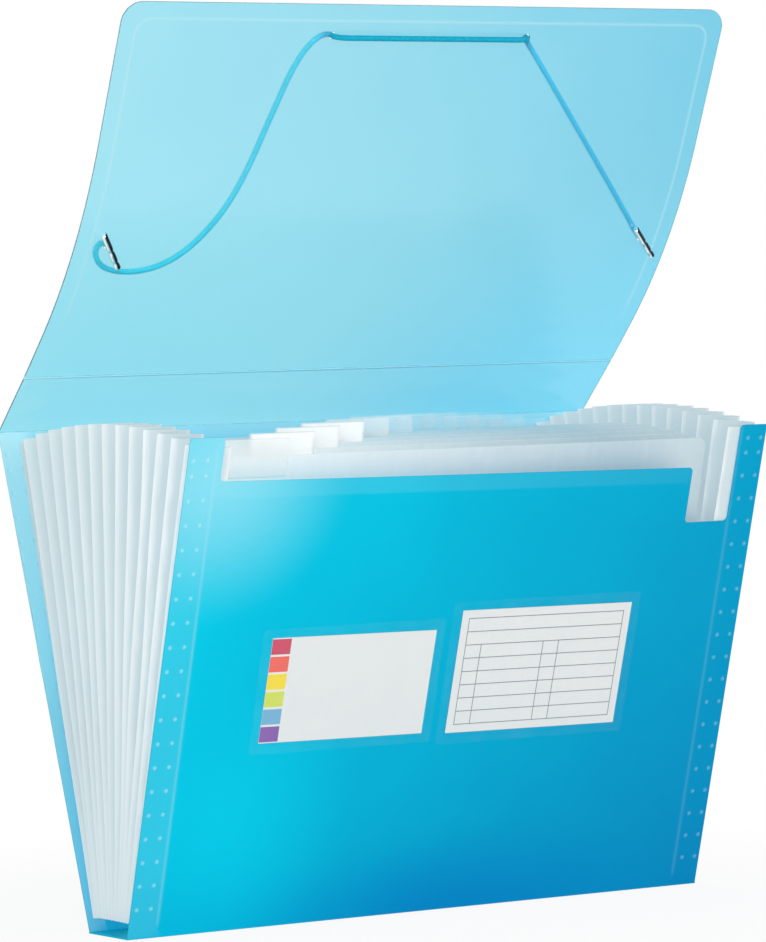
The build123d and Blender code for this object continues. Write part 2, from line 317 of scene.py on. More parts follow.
@dataclass(frozen=True)
class MilkySheet(Finish):
    """Uncoloured polypropylene film: milky, satin, with faint draw lines up the sheet."""

    stops: Stops
    along: Spot
    start: float
    rear: str
    paired: bool = False
    rear_mm: Pair = (-50.0, 50.0)
    lit_mm: Pair = (60.0, 115.0)
    lit_rear: float = 0.25
    line_mm: float = 3.0
    line_stretch: float = 30.0
    streak: float = 0.16
    line_bump: float = 0.1
    line_depth_mm: float = 0.3
    roughness: float = 0.42

    def dress(self, tree: Tree, shader: Node, where: Socket) -> None:
        """Runs the tint along one direction as painted light, streaks it with draw lines, and paints the rear
        with a second tint, for the light that comes through the blue back.

        The rear takes less of that tint at the right end, which the white pleats light up. A paired sheet has
        the
        same tint on both sides of the folder: its run is taken from the place's absolute value.

        Args:
            tree: The material's nodes.
            shader: Its Principled shader.
            where: Object coordinates in metres.
        """
        place = add_node(tree, "SeparateXYZ", Vector=where).outputs
        lit = dict(zip(("From_Min", "From_Max"), (length * MM for length in self.lit_mm)))
        most = add_node(tree, "MapRange", Value=place["X"], To_Min=1.0, To_Max=self.lit_rear, **lit)
        deep = dict(zip(("From_Min", "From_Max"), (length * MM for length in self.rear_mm)))
        shown = add_node(tree, "MapRange", Value=place["Y"], To_Max=most.outputs[0], **deep)
        if self.paired:
            where = add_node(tree, "VectorMath", {"operation": "ABSOLUTE"}, i0=where).outputs["Vector"]
        run = add_node(tree, "VectorMath", DOT, i0=where, i1=self.along).outputs["Value"]
        lines = grain(tree, where, self.line_mm, 2.0, (1, 1, self.line_stretch))
        level = add_node(tree, "Math", ADDED, i0=run, i1=self.start - self.streak / 2)
        drift = add_node(tree, "Math", SCALED, i0=lines, i1=self.streak, i2=level.outputs[0])
        ramp = add_node(tree, "ValToRGB", Fac=drift.outputs[0])
        set_ramp(ramp, dict(self.stops))
        tint = add_node(tree, "Mix", COLOURS, i0=shown.outputs[0], i6=ramp.outputs[0], i7=linear(self.rear))
        bump = add_node(tree, "Bump", Height=lines, Strength=self.line_bump, Distance=self.line_depth_mm * MM)
        feed(shader, Base_Color=tint.outputs[2], Normal=bump.outputs[0])
        feed(shader, Roughness=self.roughness, IOR=POLYPROPYLENE_IOR)


@dataclass(frozen=True)
class ClearFilm(Finish):
    """Clear vinyl film, calendered: nearly colourless, glossy, with slight waves."""

    colour: str
    alpha: float
    far_alpha: float | None = None
    far_mm: Pair = (-14.0, 4.0)
    tone_span: Pair = (0.2, 0.9)
    wave_mm: float = 9.0
    wave_bump: float = 0.25
    wave_depth_mm: float = 0.6
    roughness: float = 0.12

    def dress(self, tree: Tree, shader: Node, where: Socket) -> None:
        """Waves the film gently so that its gloss breaks up, and paints it whiter towards the lit front, with
        more cover there, as painted light.

        Args:
            tree: The material's nodes.
            shader: Its Principled shader.
            where: Object coordinates in metres.
        """
        waves = grain(tree, where, self.wave_mm, detail=1.0)
        tone = add_node(tree, "ValToRGB", Fac=waves)
        set_ramp(tone, dict(zip(self.tone_span, (self.colour, WHITE))))
        bump = add_node(tree, "Bump", Height=waves, Strength=self.wave_bump, Distance=self.wave_depth_mm * MM)
        feed(shader, Base_Color=tone.outputs[0], Normal=bump.outputs[0])
        feed(shader, Roughness=self.roughness, IOR=VINYL_IOR, Alpha=self.alpha)
        # Painted light: the film covers more, so it is whiter, towards the lit front
        if self.far_alpha is not None:
            depth = add_node(tree, "SeparateXYZ", Vector=where).outputs["Y"]
            near, far = (length * MM for length in self.far_mm)
            haze = add_node(tree, "MapRange", Value=depth, From_Min=near, From_Max=far)
            feed(haze, To_Min=self.alpha, To_Max=self.far_alpha)
            feed(shader, Alpha=haze.outputs[0])


@dataclass(frozen=True)
class PrintedPaper(Finish):
    """Uncoated card, printed: matte, faintly mottled by its fibres, with ink from the mesh."""

    paper: str
    glow: float = 0.0
    evenness: float = 0.88
    tone_span: Pair = (0.25, 0.8)
    fibre_mm: float = 1.6
    fibre_bump: float = 0.12
    fibre_depth_mm: float = 0.1
    roughness: float = 0.82

    def dress(self, tree: Tree, shader: Node, where: Socket) -> None:
        """Lays the ink attribute over the mottled paper, and makes the paper glow a little, as painted light.

        Args:
            tree: The material's nodes.
            shader: Its Principled shader.
            where: Object coordinates in metres.
        """
        fibre = grain(tree, where, self.fibre_mm, detail=4.0)
        tone = add_node(tree, "ValToRGB", Fac=fibre)
        set_ramp(tone, dict(zip(self.tone_span, (self.paper, WHITE))))
        mottled = add_node(tree, "Mix", COLOURS, i0=self.evenness, i6=tone.outputs[0], i7=linear(self.paper))
        ink = add_node(tree, "Attribute", {"attribute_name": "ink"}).outputs
        tint = add_node(tree, "Mix", COLOURS, i0=ink["Alpha"], i6=mottled.outputs[2], i7=ink["Color"])
        bump = add_node(tree, "Bump", Height=fibre, Strength=self.fibre_bump)
        feed(bump, Distance=self.fibre_depth_mm * MM)
        feed(shader, Base_Color=tint.outputs[2], Normal=bump.outputs[0])
        # Painted light: the paper gives off a little light of its own
        feed(shader, Roughness=self.roughness, Emission_Strength=self.glow)


@dataclass(frozen=True)
class BraidedElastic(Finish):
    """Elastic cord, braided from polyester over rubber: matte, with a fine lumpy weave."""

    # Each run's colours are a painted lit or shaded copy of the cord's one colour
    runs: tuple[tuple[float, str, str], ...]
    change_mm: float = 2.0
    tone_span: Pair = (0.1, 0.75)
    # Real threads are too fine to show, so they are drawn this coarse
    thread_mm: float = 0.7
    thread_bump: float = 0.5
    thread_depth_mm: float = 0.3
    roughness: float = 0.62
    gloss: float = 0.2

    def dress(self, tree: Tree, shader: Node, where: Socket) -> None:
        """Draws the threads as cells, with painted highlights on their crowns and painted shade between them,
        in each run's own lit or shaded colours from its X on.

        Args:
            tree: The material's nodes.
            shader: Its Principled shader.
            where: Object coordinates in metres.
        """
        threads = add_node(tree, "TexVoronoi", Vector=where, Scale=1 / (self.thread_mm * MM))
        cells = threads.outputs["Distance"]
        side = add_node(tree, "SeparateXYZ", Vector=where).outputs["X"]
        tint = None
        for start, light, dark in self.runs:
            ramp = add_node(tree, "ValToRGB", Fac=cells)
            set_ramp(ramp, dict(zip(self.tone_span, (light, dark))))
            low, high = ((start + change) * MM for change in (-self.change_mm, self.change_mm))
            past = add_node(tree, "MapRange", Value=side, From_Min=low, From_Max=high).outputs[0]
            colour = ramp.outputs[0]
            tint = add_node(tree, "Mix", COLOURS, i0=past, i6=tint or colour, i7=colour).outputs[2]
        bump = add_node(tree, "Bump", {"invert": True}, Height=cells, Strength=self.thread_bump)
        feed(bump, Distance=self.thread_depth_mm * MM)
        feed(shader, Base_Color=tint, Normal=bump.outputs[0])
        feed(shader, Roughness=self.roughness, Specular_IOR_Level=self.gloss)


@dataclass(frozen=True)
class PlatedSteel(Finish):
    """Nickel-plated sheet steel, rolled and crimped: mirror bright, with a painted dark reflection on one
    flank.
    """

    bright: str = "#F4F6F6"
    dark: str = "#16303A"
    towards: Spot = (0.82, -0.53, 0.2)
    flank: Pair = (0.05, 0.3)
    scuff_mm: float = 0.8
    polish: Pair = (0.12, 0.3)

    def dress(self, tree: Tree, shader: Node, where: Socket) -> None:
        """Paints a dark reflection on the flank that faces one way, as mirror steel would show an unlit room,
        and scuffs the gloss.

        Args:
            tree: The material's nodes.
            shader: Its Principled shader.
            where: Object coordinates in metres.
        """
        scuff = grain(tree, where, self.scuff_mm, detail=3.0)
        gloss = add_node(tree, "MapRange", Value=scuff, To_Min=self.polish[0], To_Max=self.polish[1])
        facing = add_node(tree, "TexCoord").outputs["Normal"]
        # Painted reflection: the flank that faces the towards direction is painted dark
        turned = add_node(tree, "VectorMath", DOT, i0=facing, i1=self.towards).outputs["Value"]
        tone = add_node(tree, "ValToRGB", Fac=turned)
        set_ramp(tone, dict(zip(self.flank, (self.bright, self.dark))))
        feed(shader, Base_Color=tone.outputs[0], Roughness=gloss.outputs[0], Metallic=1.0)


# Painted light and shade: pale at the upper left and deeper to the right and foot, for the light the satin
# face reflects and lets through, with a pale cloud at the upper left, a lighter one lower left and a deeper
# one at the foot
FRONT_BLUE = BlueSheet(
    "blue_polypropylene_front",
    stops=((0.0, "#00C9E4"), (0.3, "#00B3D4"), (0.6, "#009FC8"), (1.0, "#0084BC")),
    along=(2.15, 0.0, -1.45),
    start=0.57,
    clouds=(
        Cloud("#82DAEC", (-140.0, -75.0, 212.0), 75.0),
        Cloud("#00C8E3", (-118.0, -33.0, 52.0), 80.0),
        Cloud("#008AC4", (20.0, -16.0, 0.0), 48.0, (0.35, 1.0, 1.0)),
    ),
)
# Painted light and shade: paler at the top and deeper at the foot, with a pale band along the top for the
# light that comes through the clear flap
BACK_BLUE = BlueSheet(
    "blue_polypropylene_back",
    stops=((0.0, "#58CBE6"), (0.3, "#1EB8DE"), (0.6, "#06A4D2"), (1.0, "#008CC2")),
    along=(1.2, 0.0, -2.2),
    start=0.62,
    clouds=(Cloud("#A4E4F2", (0.0, 0.0, 232.0), 30.0, (0.0, 0.0, 1.0)),),
)
# Painted light: paler low down and to the left, with pale clouds near the crease, for the light that passes
# through the leaning flap
FLAP_BLUE = BlueSheet(
    "blue_polypropylene_flap",
    stops=((0.0, "#A6E7F5"), (0.5, "#94DDF0"), (1.0, "#72CDE9")),
    along=(2.4, 0.0, 1.2),
    start=0.04,
    clouds=(
        Cloud("#9CE9F9", (-110.0, 0.0, 238.0), 150.0, (0.6, 0.0, 1.0)),
        Cloud("#7FE0FD", (150.0, 0.0, 238.0), 110.0, (0.6, 0.0, 1.0)),
    ),
    see_through=0.96,
    roughness=0.2,
)
CREASE_BLUE = BlueSheet(
    "blue_polypropylene_crease",
    stops=((0.0, "#B4E6F3"), (1.0, "#96DAED")),
    along=(1.5, 0.0, 0.0),
    start=0.5,
)
# Painted light: paler towards the left, where the key lamp falls, and bluer at the rear, for the light that
# comes through the blue cover
DIVIDER_MILKY = MilkySheet(
    "natural_polypropylene_divider",
    stops=((0.0, "#D2DEE2"), (0.22, "#BED2DA"), (1.0, "#F7FAFA")),
    along=(-3.4, 0.0, 0.0),
    start=0.5,
    rear="#8CCFE2",
)
# Painted highlights: the pleats turn paler along their ridge and valley folds
PLEAT_MILKY = MilkySheet(
    "natural_polypropylene_pleats",
    stops=((0.0, "#E6EEF0"), (0.12, "#D0DDE1"), (0.86, "#CEDDE2"), (1.0, "#ECF2F4")),
    along=(50.0, 0.0, 0.0),
    start=-6.8,
    rear="#CAD8DC",
    paired=True,
)
TAB_FILM = ClearFilm("clear_tab_film", "#F4FAFB", alpha=0.3, far_alpha=0.07)
SLEEVE_FILM = ClearFilm("clear_sleeve_film", "#5CCBE4", alpha=0.014)
# Painted light: the slips glow a little to stay white where they lie in shade
SLIP_PAPER = PrintedPaper("white_slip_paper", "#FFFFFE", glow=0.14)
CARD_PAPER = PrintedPaper("pale_card", "#E4E4E2")
# Painted light: each run of the one cord has its own lit or shaded copy of the colour, brighter on the slack
# and right runs, which lie behind the clear flap, and darker on the run across the top
CORD_BRAID = BraidedElastic(
    "braided_elastic",
    runs=((-165.0, "#60E2E4", "#34CED6"), (-57.0, "#00C2DC", "#0094B8"), (57.0, "#00ECF8", "#00D6E8")),
)
BARB_STEEL = PlatedSteel("nickel_plated_steel")


def closed_volume(points: np.ndarray, triangles: np.ndarray) -> float:
    """Signed volume of a closed mesh: a sixth of the sum of its triangles' triple products."""
    a, b, c = (points[triangles[:, i]] for i in range(3))
    return float(np.einsum("ij,ij->", a, np.cross(b, c)) / 6)


def add_piece(
    name: str,
    points: np.ndarray,
    triangles: np.ndarray,
    material: Material,
    weld: np.ndarray | None = None,
    ink: np.ndarray | None = None,
    shadow: bool = True,
) -> bpy.types.Object:
    """Puts arrays into a closed mesh whose faces point outwards.

    Args:
        name: The piece's name.
        points: Points in millimetres, three to a row.
        triangles: Point numbers, three to a row.
        material: Its finish.
        weld: How far each point is paled by a weld, from 0 to 1.
        ink: Linear colour and cover of each triangle's print.
        shadow: Whether it stops the lamps' light, which a translucent sheet lets through.

    Returns:
        The new object, at the origin.
    """
    faces = triangles[:, ::-1] if closed_volume(points, triangles) < 0 else triangles
    mesh = bpy.data.meshes.new(name)
    mesh.from_pydata((points * MM).tolist(), [], faces.tolist())
    mesh.materials.append(material)
    mesh.polygons.foreach_set("use_smooth", np.ones(len(faces), bool))
    mesh.set_sharp_from_angle(angle=math.radians(SHARP_DEG))
    if weld is not None:
        mesh.attributes.new("weld", "FLOAT", "POINT").data.foreach_set("value", weld.astype(np.float32))
    if ink is not None:
        colours = np.repeat(ink, 3, axis=0).astype(np.float32)
        mesh.attributes.new("ink", "FLOAT_COLOR", "CORNER").data.foreach_set("color", colours.ravel())
    mesh.update()
    piece = bpy.data.objects.new(name, mesh)
    piece.visible_shadow = shadow
    bpy.context.scene.collection.objects.link(piece)
    LOG.info("%s: %d triangles", name, len(faces))
    return piece


def stand_for(piece: bpy.types.Object, body: str, slot: str, *nodes: str) -> bpy.types.Object:
    """Lets a piece ride on a body, in place of the frame's nodes.

    Args:
        piece: The piece.
        body: The body that carries it.
        slot: Its material slot in the record; not used.
        nodes: The nodes that it replaces.

    Returns:
        The piece.
    """
    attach(piece, body)
    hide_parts(*nodes)
    return piece


def ring_angles(count: int) -> np.ndarray:
    """Evenly spaced angles of one full turn, in radians."""
    return np.linspace(0, 2 * math.pi, count + 1)[:-1]


def smooth_step(value: np.ndarray | float, low: float, high: float) -> np.ndarray:
    """Eases from 0 at low to 1 at high: three times the square less twice the cube of the share between."""
    share = np.clip((np.asarray(value, float) - low) / (high - low), 0, 1)
    return share * share * (3 - 2 * share)


def rounded_outline(corners: list[Spot], arc_steps: int = ARC_STEPS) -> np.ndarray:
    """Outline of a cut sheet, with every corner an arc.

    Each arc starts one tangent length, radius times the tangent of half the turn, before its corner, and
    turns about a centre one radius to the side.

    Args:
        corners: X, height and corner radius, counter-clockwise.
        arc_steps: Points to an arc.

    Returns:
        The outline's points, two to a row.
    """
    data = np.array(corners, float)
    spot, radius = data[:, :2], data[:, 2]
    into = spot - np.roll(spot, 1, 0)
    into /= np.linalg.norm(into, axis=1, keepdims=True)
    out = np.roll(into, -1, 0)
    turn = np.arctan2(into[:, 0] * out[:, 1] - into[:, 1] * out[:, 0], (into * out).sum(1))
    start = spot - into * (radius * np.tan(np.abs(turn) / 2))[:, None]
    side = np.stack((-into[:, 1], into[:, 0]), 1) * np.sign(turn)[:, None]
    centre = start + side * radius[:, None]
    angle = turn[:, None] * np.linspace(0, 1, arc_steps)[None, :]
    arm = start - centre
    x = centre[:, :1] + arm[:, :1] * np.cos(angle) - arm[:, 1:] * np.sin(angle)
    y = centre[:, 1:] + arm[:, :1] * np.sin(angle) + arm[:, 1:] * np.cos(angle)
    return np.stack((x, y), 2).reshape(-1, 2)


def four_sided(
    ends: Pair, halves: Pair, radii: Pair, middle: float = 0.0, arc_steps: int = ARC_STEPS
) -> np.ndarray:
    """Outline of a sheet with level ends and rounded corners.

    Args:
        ends: Heights of its lower and upper end.
        halves: Half its width at each end.
        radii: Corner radius at each end.
        middle: X of its middle.
        arc_steps: Points to an arc.

    Returns:
        The outline's points, two to a row.
    """
    (low, high), (foot, top), (foot_radius, top_radius) = ends, halves, radii
    corners = [
        (middle - foot, low, foot_radius),
        (middle + foot, low, foot_radius),
        (middle + top, high, top_radius),
        (middle - top, high, top_radius),
    ]
    return rounded_outline(corners, arc_steps)


def spaced(outline: np.ndarray, spacing: float) -> np.ndarray:
    """Adds points along an outline's long runs, so that none is longer than the spacing.

    Args:
        outline: A closed outline's points.
        spacing: Longest run that stays.

    Returns:
        The outline with the added points.
    """
    closed = np.vstack((outline, outline[:1]))
    length = np.linalg.norm(np.diff(closed, axis=0), axis=1)
    parts = np.maximum(np.ceil(length / spacing).astype(int), 1)
    first = np.repeat(np.arange(len(outline)), parts)
    step = np.arange(parts.sum()) - np.repeat(np.cumsum(parts) - parts, parts)
    share = (step / np.repeat(parts, parts))[:, None]
    return closed[first] * (1 - share) + closed[first + 1] * share


def edge_distance(points: np.ndarray, loop: np.ndarray) -> np.ndarray:
    """Least distance from each point to a closed outline: to the nearest place on each of its runs.

    Args:
        points: Points, two to a row.
        loop: The outline's points.

    Returns:
        One distance to a point.
    """
    run = np.roll(loop, -1, 0) - loop
    reach = points[:, None, :] - loop[None]
    along = np.clip((reach * run).sum(2) / (run**2).sum(1), 0, 1)
    return np.linalg.norm(reach - along[..., None] * run, axis=2).min(1)


@dataclass
class Blank:
    """A sheet cut to shape and divided into triangles, still flat."""

    points: np.ndarray
    triangles: np.ndarray
    loops: list[np.ndarray]

    @classmethod
    def cut(
        cls,
        outline: np.ndarray,
        spacing: float,
        holes: tuple[np.ndarray, ...] = (),
        extra: np.ndarray | None = None,
        edge_clear: float = 0.4,
        extra_clear: float = 0.3,
    ) -> Blank:
        """Divides a sheet on a square grid of points, with extra points where its form needs them.

        Args:
            outline: The sheet's outer edge, counter-clockwise.
            spacing: Grid spacing.
            holes: Edges of holes.
            extra: Points of ridges and welds, which push the grid's points aside.
            edge_clear: Share of the spacing that the grid keeps from the edges.
            extra_clear: Share of the spacing that it keeps from the extra points.

        Returns:
            The divided sheet.
        """
        loops = [spaced(outline, spacing), *holes]
        low, high = outline.min(0), outline.max(0)
        counts = np.maximum(((high - low) / spacing).astype(int), 2)
        axes = [np.linspace(low[i], high[i], counts[i] + 1)[1:-1] for i in (0, 1)]
        inner = np.stack(np.meshgrid(*axes), -1).reshape(-1, 2)
        inner = inner[np.min([edge_distance(inner, loop) for loop in loops], axis=0) > spacing * edge_clear]
        if extra is not None:
            gap = np.linalg.norm(inner[:, None] - extra[None], axis=2).min(1)
            inner = np.vstack((inner[gap > spacing * extra_clear], extra))
        ends = np.cumsum([0, *(len(loop) for loop in loops)])
        rims = [np.arange(a, b) for a, b in zip(ends[:-1], ends[1:])]
        points = np.vstack((*loops, inner))
        flat = [Vector(point) for point in points.tolist()]
        made = delaunay_2d_cdt(flat, [], [rim.tolist() for rim in rims], INSIDE_WITH_HOLES, JOIN_GAP)
        order = np.array([ids[0] for ids in made[3]])
        triangles = order[np.array(made[2])]
        a, b, c = (points[triangles[:, i]] for i in range(3))
        turned = (b - a)[:, 0] * (c - a)[:, 1] - (b - a)[:, 1] * (c - a)[:, 0] < 0
        triangles[turned] = triangles[turned][:, ::-1]
        used = np.unique(triangles)
        if len(used) < len(points):
            renumber = np.full(len(points), -1)
            renumber[used] = np.arange(len(used))
            points, triangles = points[used], renumber[triangles]
            rims = [renumber[rim] for rim in rims]
        return cls(points, triangles, rims)

    def solid(
        self, place: Place, thickness: float, lift: np.ndarray | float = 0.0, edge: float = 0.12
    ) -> Shape:
        """Gives the sheet its thickness and a softened rim.

        Both faces are drawn in by the edge width along the outline, and the rim runs from one face over
        the full outline at half thickness to the other.

        Args:
            place: Puts X, height and stand-off into the folder, in millimetres.
            thickness: Sheet thickness.
            lift: Stand-off of each point's middle.
            edge: Width of the softened rim.

        Returns:
            Points and triangles of the closed sheet.
        """
        count = len(self.points)
        drawn = self.points.copy()
        stand = np.broadcast_to(np.asarray(lift, float), (count,))
        for loop in self.loops:
            ring = self.points[loop]
            run = np.roll(ring, -1, 0) - np.roll(ring, 1, 0)
            run /= np.linalg.norm(run, axis=1, keepdims=True)
            area = np.sum(ring[:, 0] * np.roll(ring[:, 1], -1) - np.roll(ring[:, 0], -1) * ring[:, 1])
            inward = np.stack((-run[:, 1], run[:, 0]), 1) * np.sign(area)
            drawn[loop] += inward * edge * (1 if loop is self.loops[0] else -1)
        rim = np.concatenate(self.loops)
        faces = [place(drawn[:, 0], drawn[:, 1], stand + side * thickness / 2) for side in (1, -1)]
        points = np.vstack((*faces, place(self.points[rim, 0], self.points[rim, 1], stand[rim])))
        after = np.concatenate([np.roll(loop, -1) for loop in self.loops])
        middle = 2 * count + np.arange(len(rim))
        starts = np.cumsum([0, *(len(loop) for loop in self.loops)])
        middle_after = np.concatenate([np.roll(middle[a:b], -1) for a, b in zip(starts[:-1], starts[1:])])
        walls = [
            (rim, middle, middle_after),
            (rim, middle_after, after),
            (middle, rim + count, after + count),
            (middle, after + count, middle_after),
        ]
        sides = np.vstack([np.stack(wall, 1) for wall in walls])
        return points, np.vstack((self.triangles, self.triangles[:, ::-1] + count, sides))

    def spread(self, values: np.ndarray) -> np.ndarray:
        """Values of the sheet's points, for both faces and the rim of its solid."""
        return np.concatenate((values, values, values[np.concatenate(self.loops)]))


def thick_grid(middle: np.ndarray, thickness: float) -> Shape:
    """Thickens a surface on a grid: each point moves half the thickness both ways along its normal.

    Args:
        middle: The surface's points, by row and column.
        thickness: Its thickness.

    Returns:
        Points and triangles of the closed film.
    """
    rows, columns = middle.shape[:2]
    normal = np.cross(np.gradient(middle, axis=0), np.gradient(middle, axis=1))
    normal /= np.linalg.norm(normal, axis=2, keepdims=True)
    points = np.concatenate([(middle + normal * side * thickness / 2).reshape(-1, 3) for side in (1, -1)])
    number = np.arange(rows * columns).reshape(rows, columns)
    quads = np.stack((number[:-1, :-1], number[1:, :-1], number[1:, 1:], number[:-1, 1:]), -1).reshape(-1, 4)
    border = np.concatenate((number[0, :-1], number[:-1, -1], number[-1, :0:-1], number[:0:-1, 0]))
    after = np.roll(border, -1)
    shift = rows * columns
    walls = np.stack((border, after, after + shift, border + shift), 1)
    every = np.vstack((quads, quads[:, ::-1] + shift, walls))
    return points, np.vstack((every[:, [0, 1, 2]], every[:, [0, 2, 3]]))


def carried_profile(rings: np.ndarray) -> Shape:
    """Skins a closed profile that is carried along a path, and caps both ends.

    A cap zigzags from the profile's first half to its second, so it also fills the wall of a folded profile.

    Args:
        rings: The profile's points at each step, by step and place.

    Returns:
        Points and triangles of the closed skin.
    """
    steps, places = rings.shape[:2]
    number = np.arange(steps * places).reshape(steps, places)
    after = np.roll(number, -1, 1)
    quads = np.stack((number[:-1], number[1:], after[1:], after[:-1]), -1).reshape(-1, 4)
    zigzag = np.stack((np.arange(places), np.arange(places)[::-1]), 1).ravel()[:places]
    cap = np.stack((zigzag[:-2], zigzag[1:-1], zigzag[2:]), 1)
    cap[::2, 1:] = cap[::2, :0:-1]
    caps = (number[0][cap], number[-1][cap[:, ::-1]])
    return rings.reshape(-1, 3), np.vstack((quads[:, [0, 1, 2]], quads[:, [0, 2, 3]], *caps))


@dataclass
class Fan:
    """The fan of leaves: where each one hinges and how far it leans, read from the frame."""

    pivots: np.ndarray
    shares: np.ndarray
    lean: float
    panel_height: float

    @classmethod
    def from_frame(cls, frame: dict) -> Fan:
        """Reads the leaves' hinges and ratios from the frame's joints.


        Returns:
            The fan, in millimetres and radians.
        """
        joints = {joint["child"]: joint for joint in frame["joints"]}
        dividers = sorted(name for name in joints if name.startswith("divider_"))
        pivots = np.array([joints[name]["pos_m"][1:] for name in ("front", *dividers, "back")]) / MM
        slide = joints["left_card"]["axis"]
        lean = math.atan2(-slide[1], slide[2])
        strip = np.array(joints["top_strip"]["pos_m"][1:]) / MM
        return cls(pivots, np.linspace(1, -1, len(pivots)), lean, math.dist(strip, pivots[-1]))

    @property
    def last(self) -> int:
        """Number of the back panel's leaf."""
        return len(self.pivots) - 1

    def put(self, leaf: int, x: np.ndarray, run: np.ndarray, stand: np.ndarray) -> np.ndarray:
        """Places points of a leaf: Y falls with the sine of its lean along the run, Z rises with the cosine.

        Args:
            leaf: The leaf's number.
            x: Places across the folder.
            run: Ways up the leaf from its hinge.
            stand: Stand-offs from its middle towards the front.

        Returns:
            Points in the folder.
        """
        turn = self.lean * self.shares[leaf]
        pivot_y, pivot_z = self.pivots[leaf]
        y = pivot_y - run * math.sin(turn) - stand * math.cos(turn)
        z = pivot_z + run * math.cos(turn) - stand * math.sin(turn)
        return np.stack(np.broadcast_arrays(x, y, z), -1)

    def place(self, leaf: int) -> Place:
        """Gives the function that places one leaf's points."""
        return partial(self.put, leaf)

    def body(self, leaf: int) -> str:
        """Name of the body that carries a leaf."""
        return "front" if leaf == 0 else "back" if leaf == self.last else f"divider_{leaf:02d}"


@dataclass
class Cover:
    """The creased blue sheet: front, base, back, top strip and flap.

    A paleness is how far a weld turns the blue to white: at the left and right, or for the back's weld
    strips at the foot and top. On the weld dots it is partly a painted highlight on their domes.
    """

    fan: Fan
    strip_crease: np.ndarray
    flap_crease: np.ndarray
    sheet: float = 0.8
    back_half: float = 165.0
    back_foot_half: float = 159.0
    front_half: float = 158.0
    corner: float = 0.6
    left_strip: float = 18.0
    right_strip: float = 15.0
    right_drop: float = 4.0
    cut_depth: float = 20.5
    cut_fall: float = 3.8
    notch_width: float = 24.5
    notch_depth: float = 51.0
    cut_radius: float = 2.0
    crease_gap: float = 0.2
    flap_root: float = 24.0
    flap_bend: float = 105.0
    flap_tip: float = 67.0
    root_lean: float = math.radians(43.5)
    tip_lean: float = math.radians(22.5)
    flap_corner: float = 10.0
    flap_corner_steps: int = 12
    border_inset: float = 8.0
    border_radius: float = 8.0
    border_rise: float = 0.1
    border_width: float = 0.6
    border_foot: float = 70.0
    border_fade: Pair = (-4.0, 8.0)
    border_step: float = 3.0
    border_close: float = 2.0
    border_arc: int = 7
    border_rows: tuple[int, ...] = (-2, -1, 0, 1, 2)
    border_pale: float = 0.5
    dot_radius: float = 1.35
    dot_rise: float = 0.4
    dot_step: float = 11.3
    dot_drop: float = 10.5
    dot_close: float = 7.2
    dot_insets: Pair = (2.8, 10.2)
    dot_rings: Spot = (0.55, 1.0, 1.25)
    dot_facets: int = 8
    dot_pale: Pair = (0.54, 0.26)
    weld_inset: float = 14.6
    weld_soft: float = 0.6
    seam_shifts: tuple[float, ...] = (-2.2, -1.2, -0.5, 0.0, 0.5, 1.2, 2.2)
    seam_margin: float = 4.0
    seam_step: float = 3.0
    seam_width: float = 0.7
    seam_fade: Pair = (3.5, 8.0)
    seam_pale: Pair = (0.22, 0.08)
    front_strip_pale: Pair = (0.06, 0.0)
    back_strip_pale: Pair = (0.2, 0.65)
    hem: float = 7.5
    hem_margin: float = 20.0
    hem_step: float = 6.0
    hem_shift: float = 0.6
    hem_soft: float = 0.7
    hem_pale: Pair = (0.07, 0.02)
    bead: float = 0.5
    bead_facets: int = 12
    bead_steps: int = 34
    top_hole: Pair = (53.5, 15.0)
    tie_hole: Pair = (148.0, 118.0)
    hole_radius: float = 1.7
    hole_facets: int = 16
    spacing: float = 9.0
    flap_spacing: float = 5.4
    edge_margin: float = 0.4

    def __post_init__(self) -> None:
        """Works out the flap's profile lengths, measured from the top crease."""
        self.strip_depth = float(np.linalg.norm(self.flap_crease - self.strip_crease))
        self.bend_start = self.strip_depth + self.flap_root
        self.bend_end = self.bend_start + self.flap_bend
        self.flap_length = self.bend_end + self.flap_tip
        self.bend_radius = self.flap_bend / (self.root_lean - self.tip_lean)

    def put_base(self, x: np.ndarray, y: np.ndarray, stand: np.ndarray) -> np.ndarray:
        """Places points of the base, which lies flat."""
        return np.stack((x, y, stand), -1)

    def put_strip(self, x: np.ndarray, run: np.ndarray, stand: np.ndarray) -> np.ndarray:
        """Places points of the top strip: straight from one crease to the other.

        Args:
            x: Places across the folder.
            run: Ways from the top crease.
            stand: Stand-offs outwards.

        Returns:
            Points in the folder.
        """
        way = (self.flap_crease - self.strip_crease) / self.strip_depth
        y = self.strip_crease[0] + run * way[0] + stand * way[1]
        z = self.strip_crease[1] + run * way[1] - stand * way[0]
        return np.stack(np.broadcast_arrays(x, y, z), -1)

    def put_flap(self, x: np.ndarray, run: np.ndarray, stand: np.ndarray) -> np.ndarray:
        """Places points of the flap: straight, then an arc that stands it up, then straight again.

        Args:
            x: Places across the folder.
            run: Ways from the top crease, over the strip.
            stand: Stand-offs outwards.

        Returns:
            Points in the folder.
        """
        run = np.asarray(run, float)
        here = self.root_lean - np.clip(run - self.bend_start, 0, self.flap_bend) / self.bend_radius
        before = np.minimum(run, self.bend_start) - self.strip_depth
        after = np.maximum(run, self.bend_end) - self.bend_end
        sine, cosine = math.sin(self.root_lean), math.cos(self.root_lean)
        forward = before * sine + self.bend_radius * (np.cos(here) - cosine) + after * np.sin(here)
        upward = before * cosine + self.bend_radius * (sine - np.sin(here)) + after * np.cos(here)
        y = self.flap_crease[0] - forward + stand * np.cos(here)
        z = self.flap_crease[1] + upward + stand * np.sin(here)
        return np.stack(np.broadcast_arrays(x, y, z), -1)

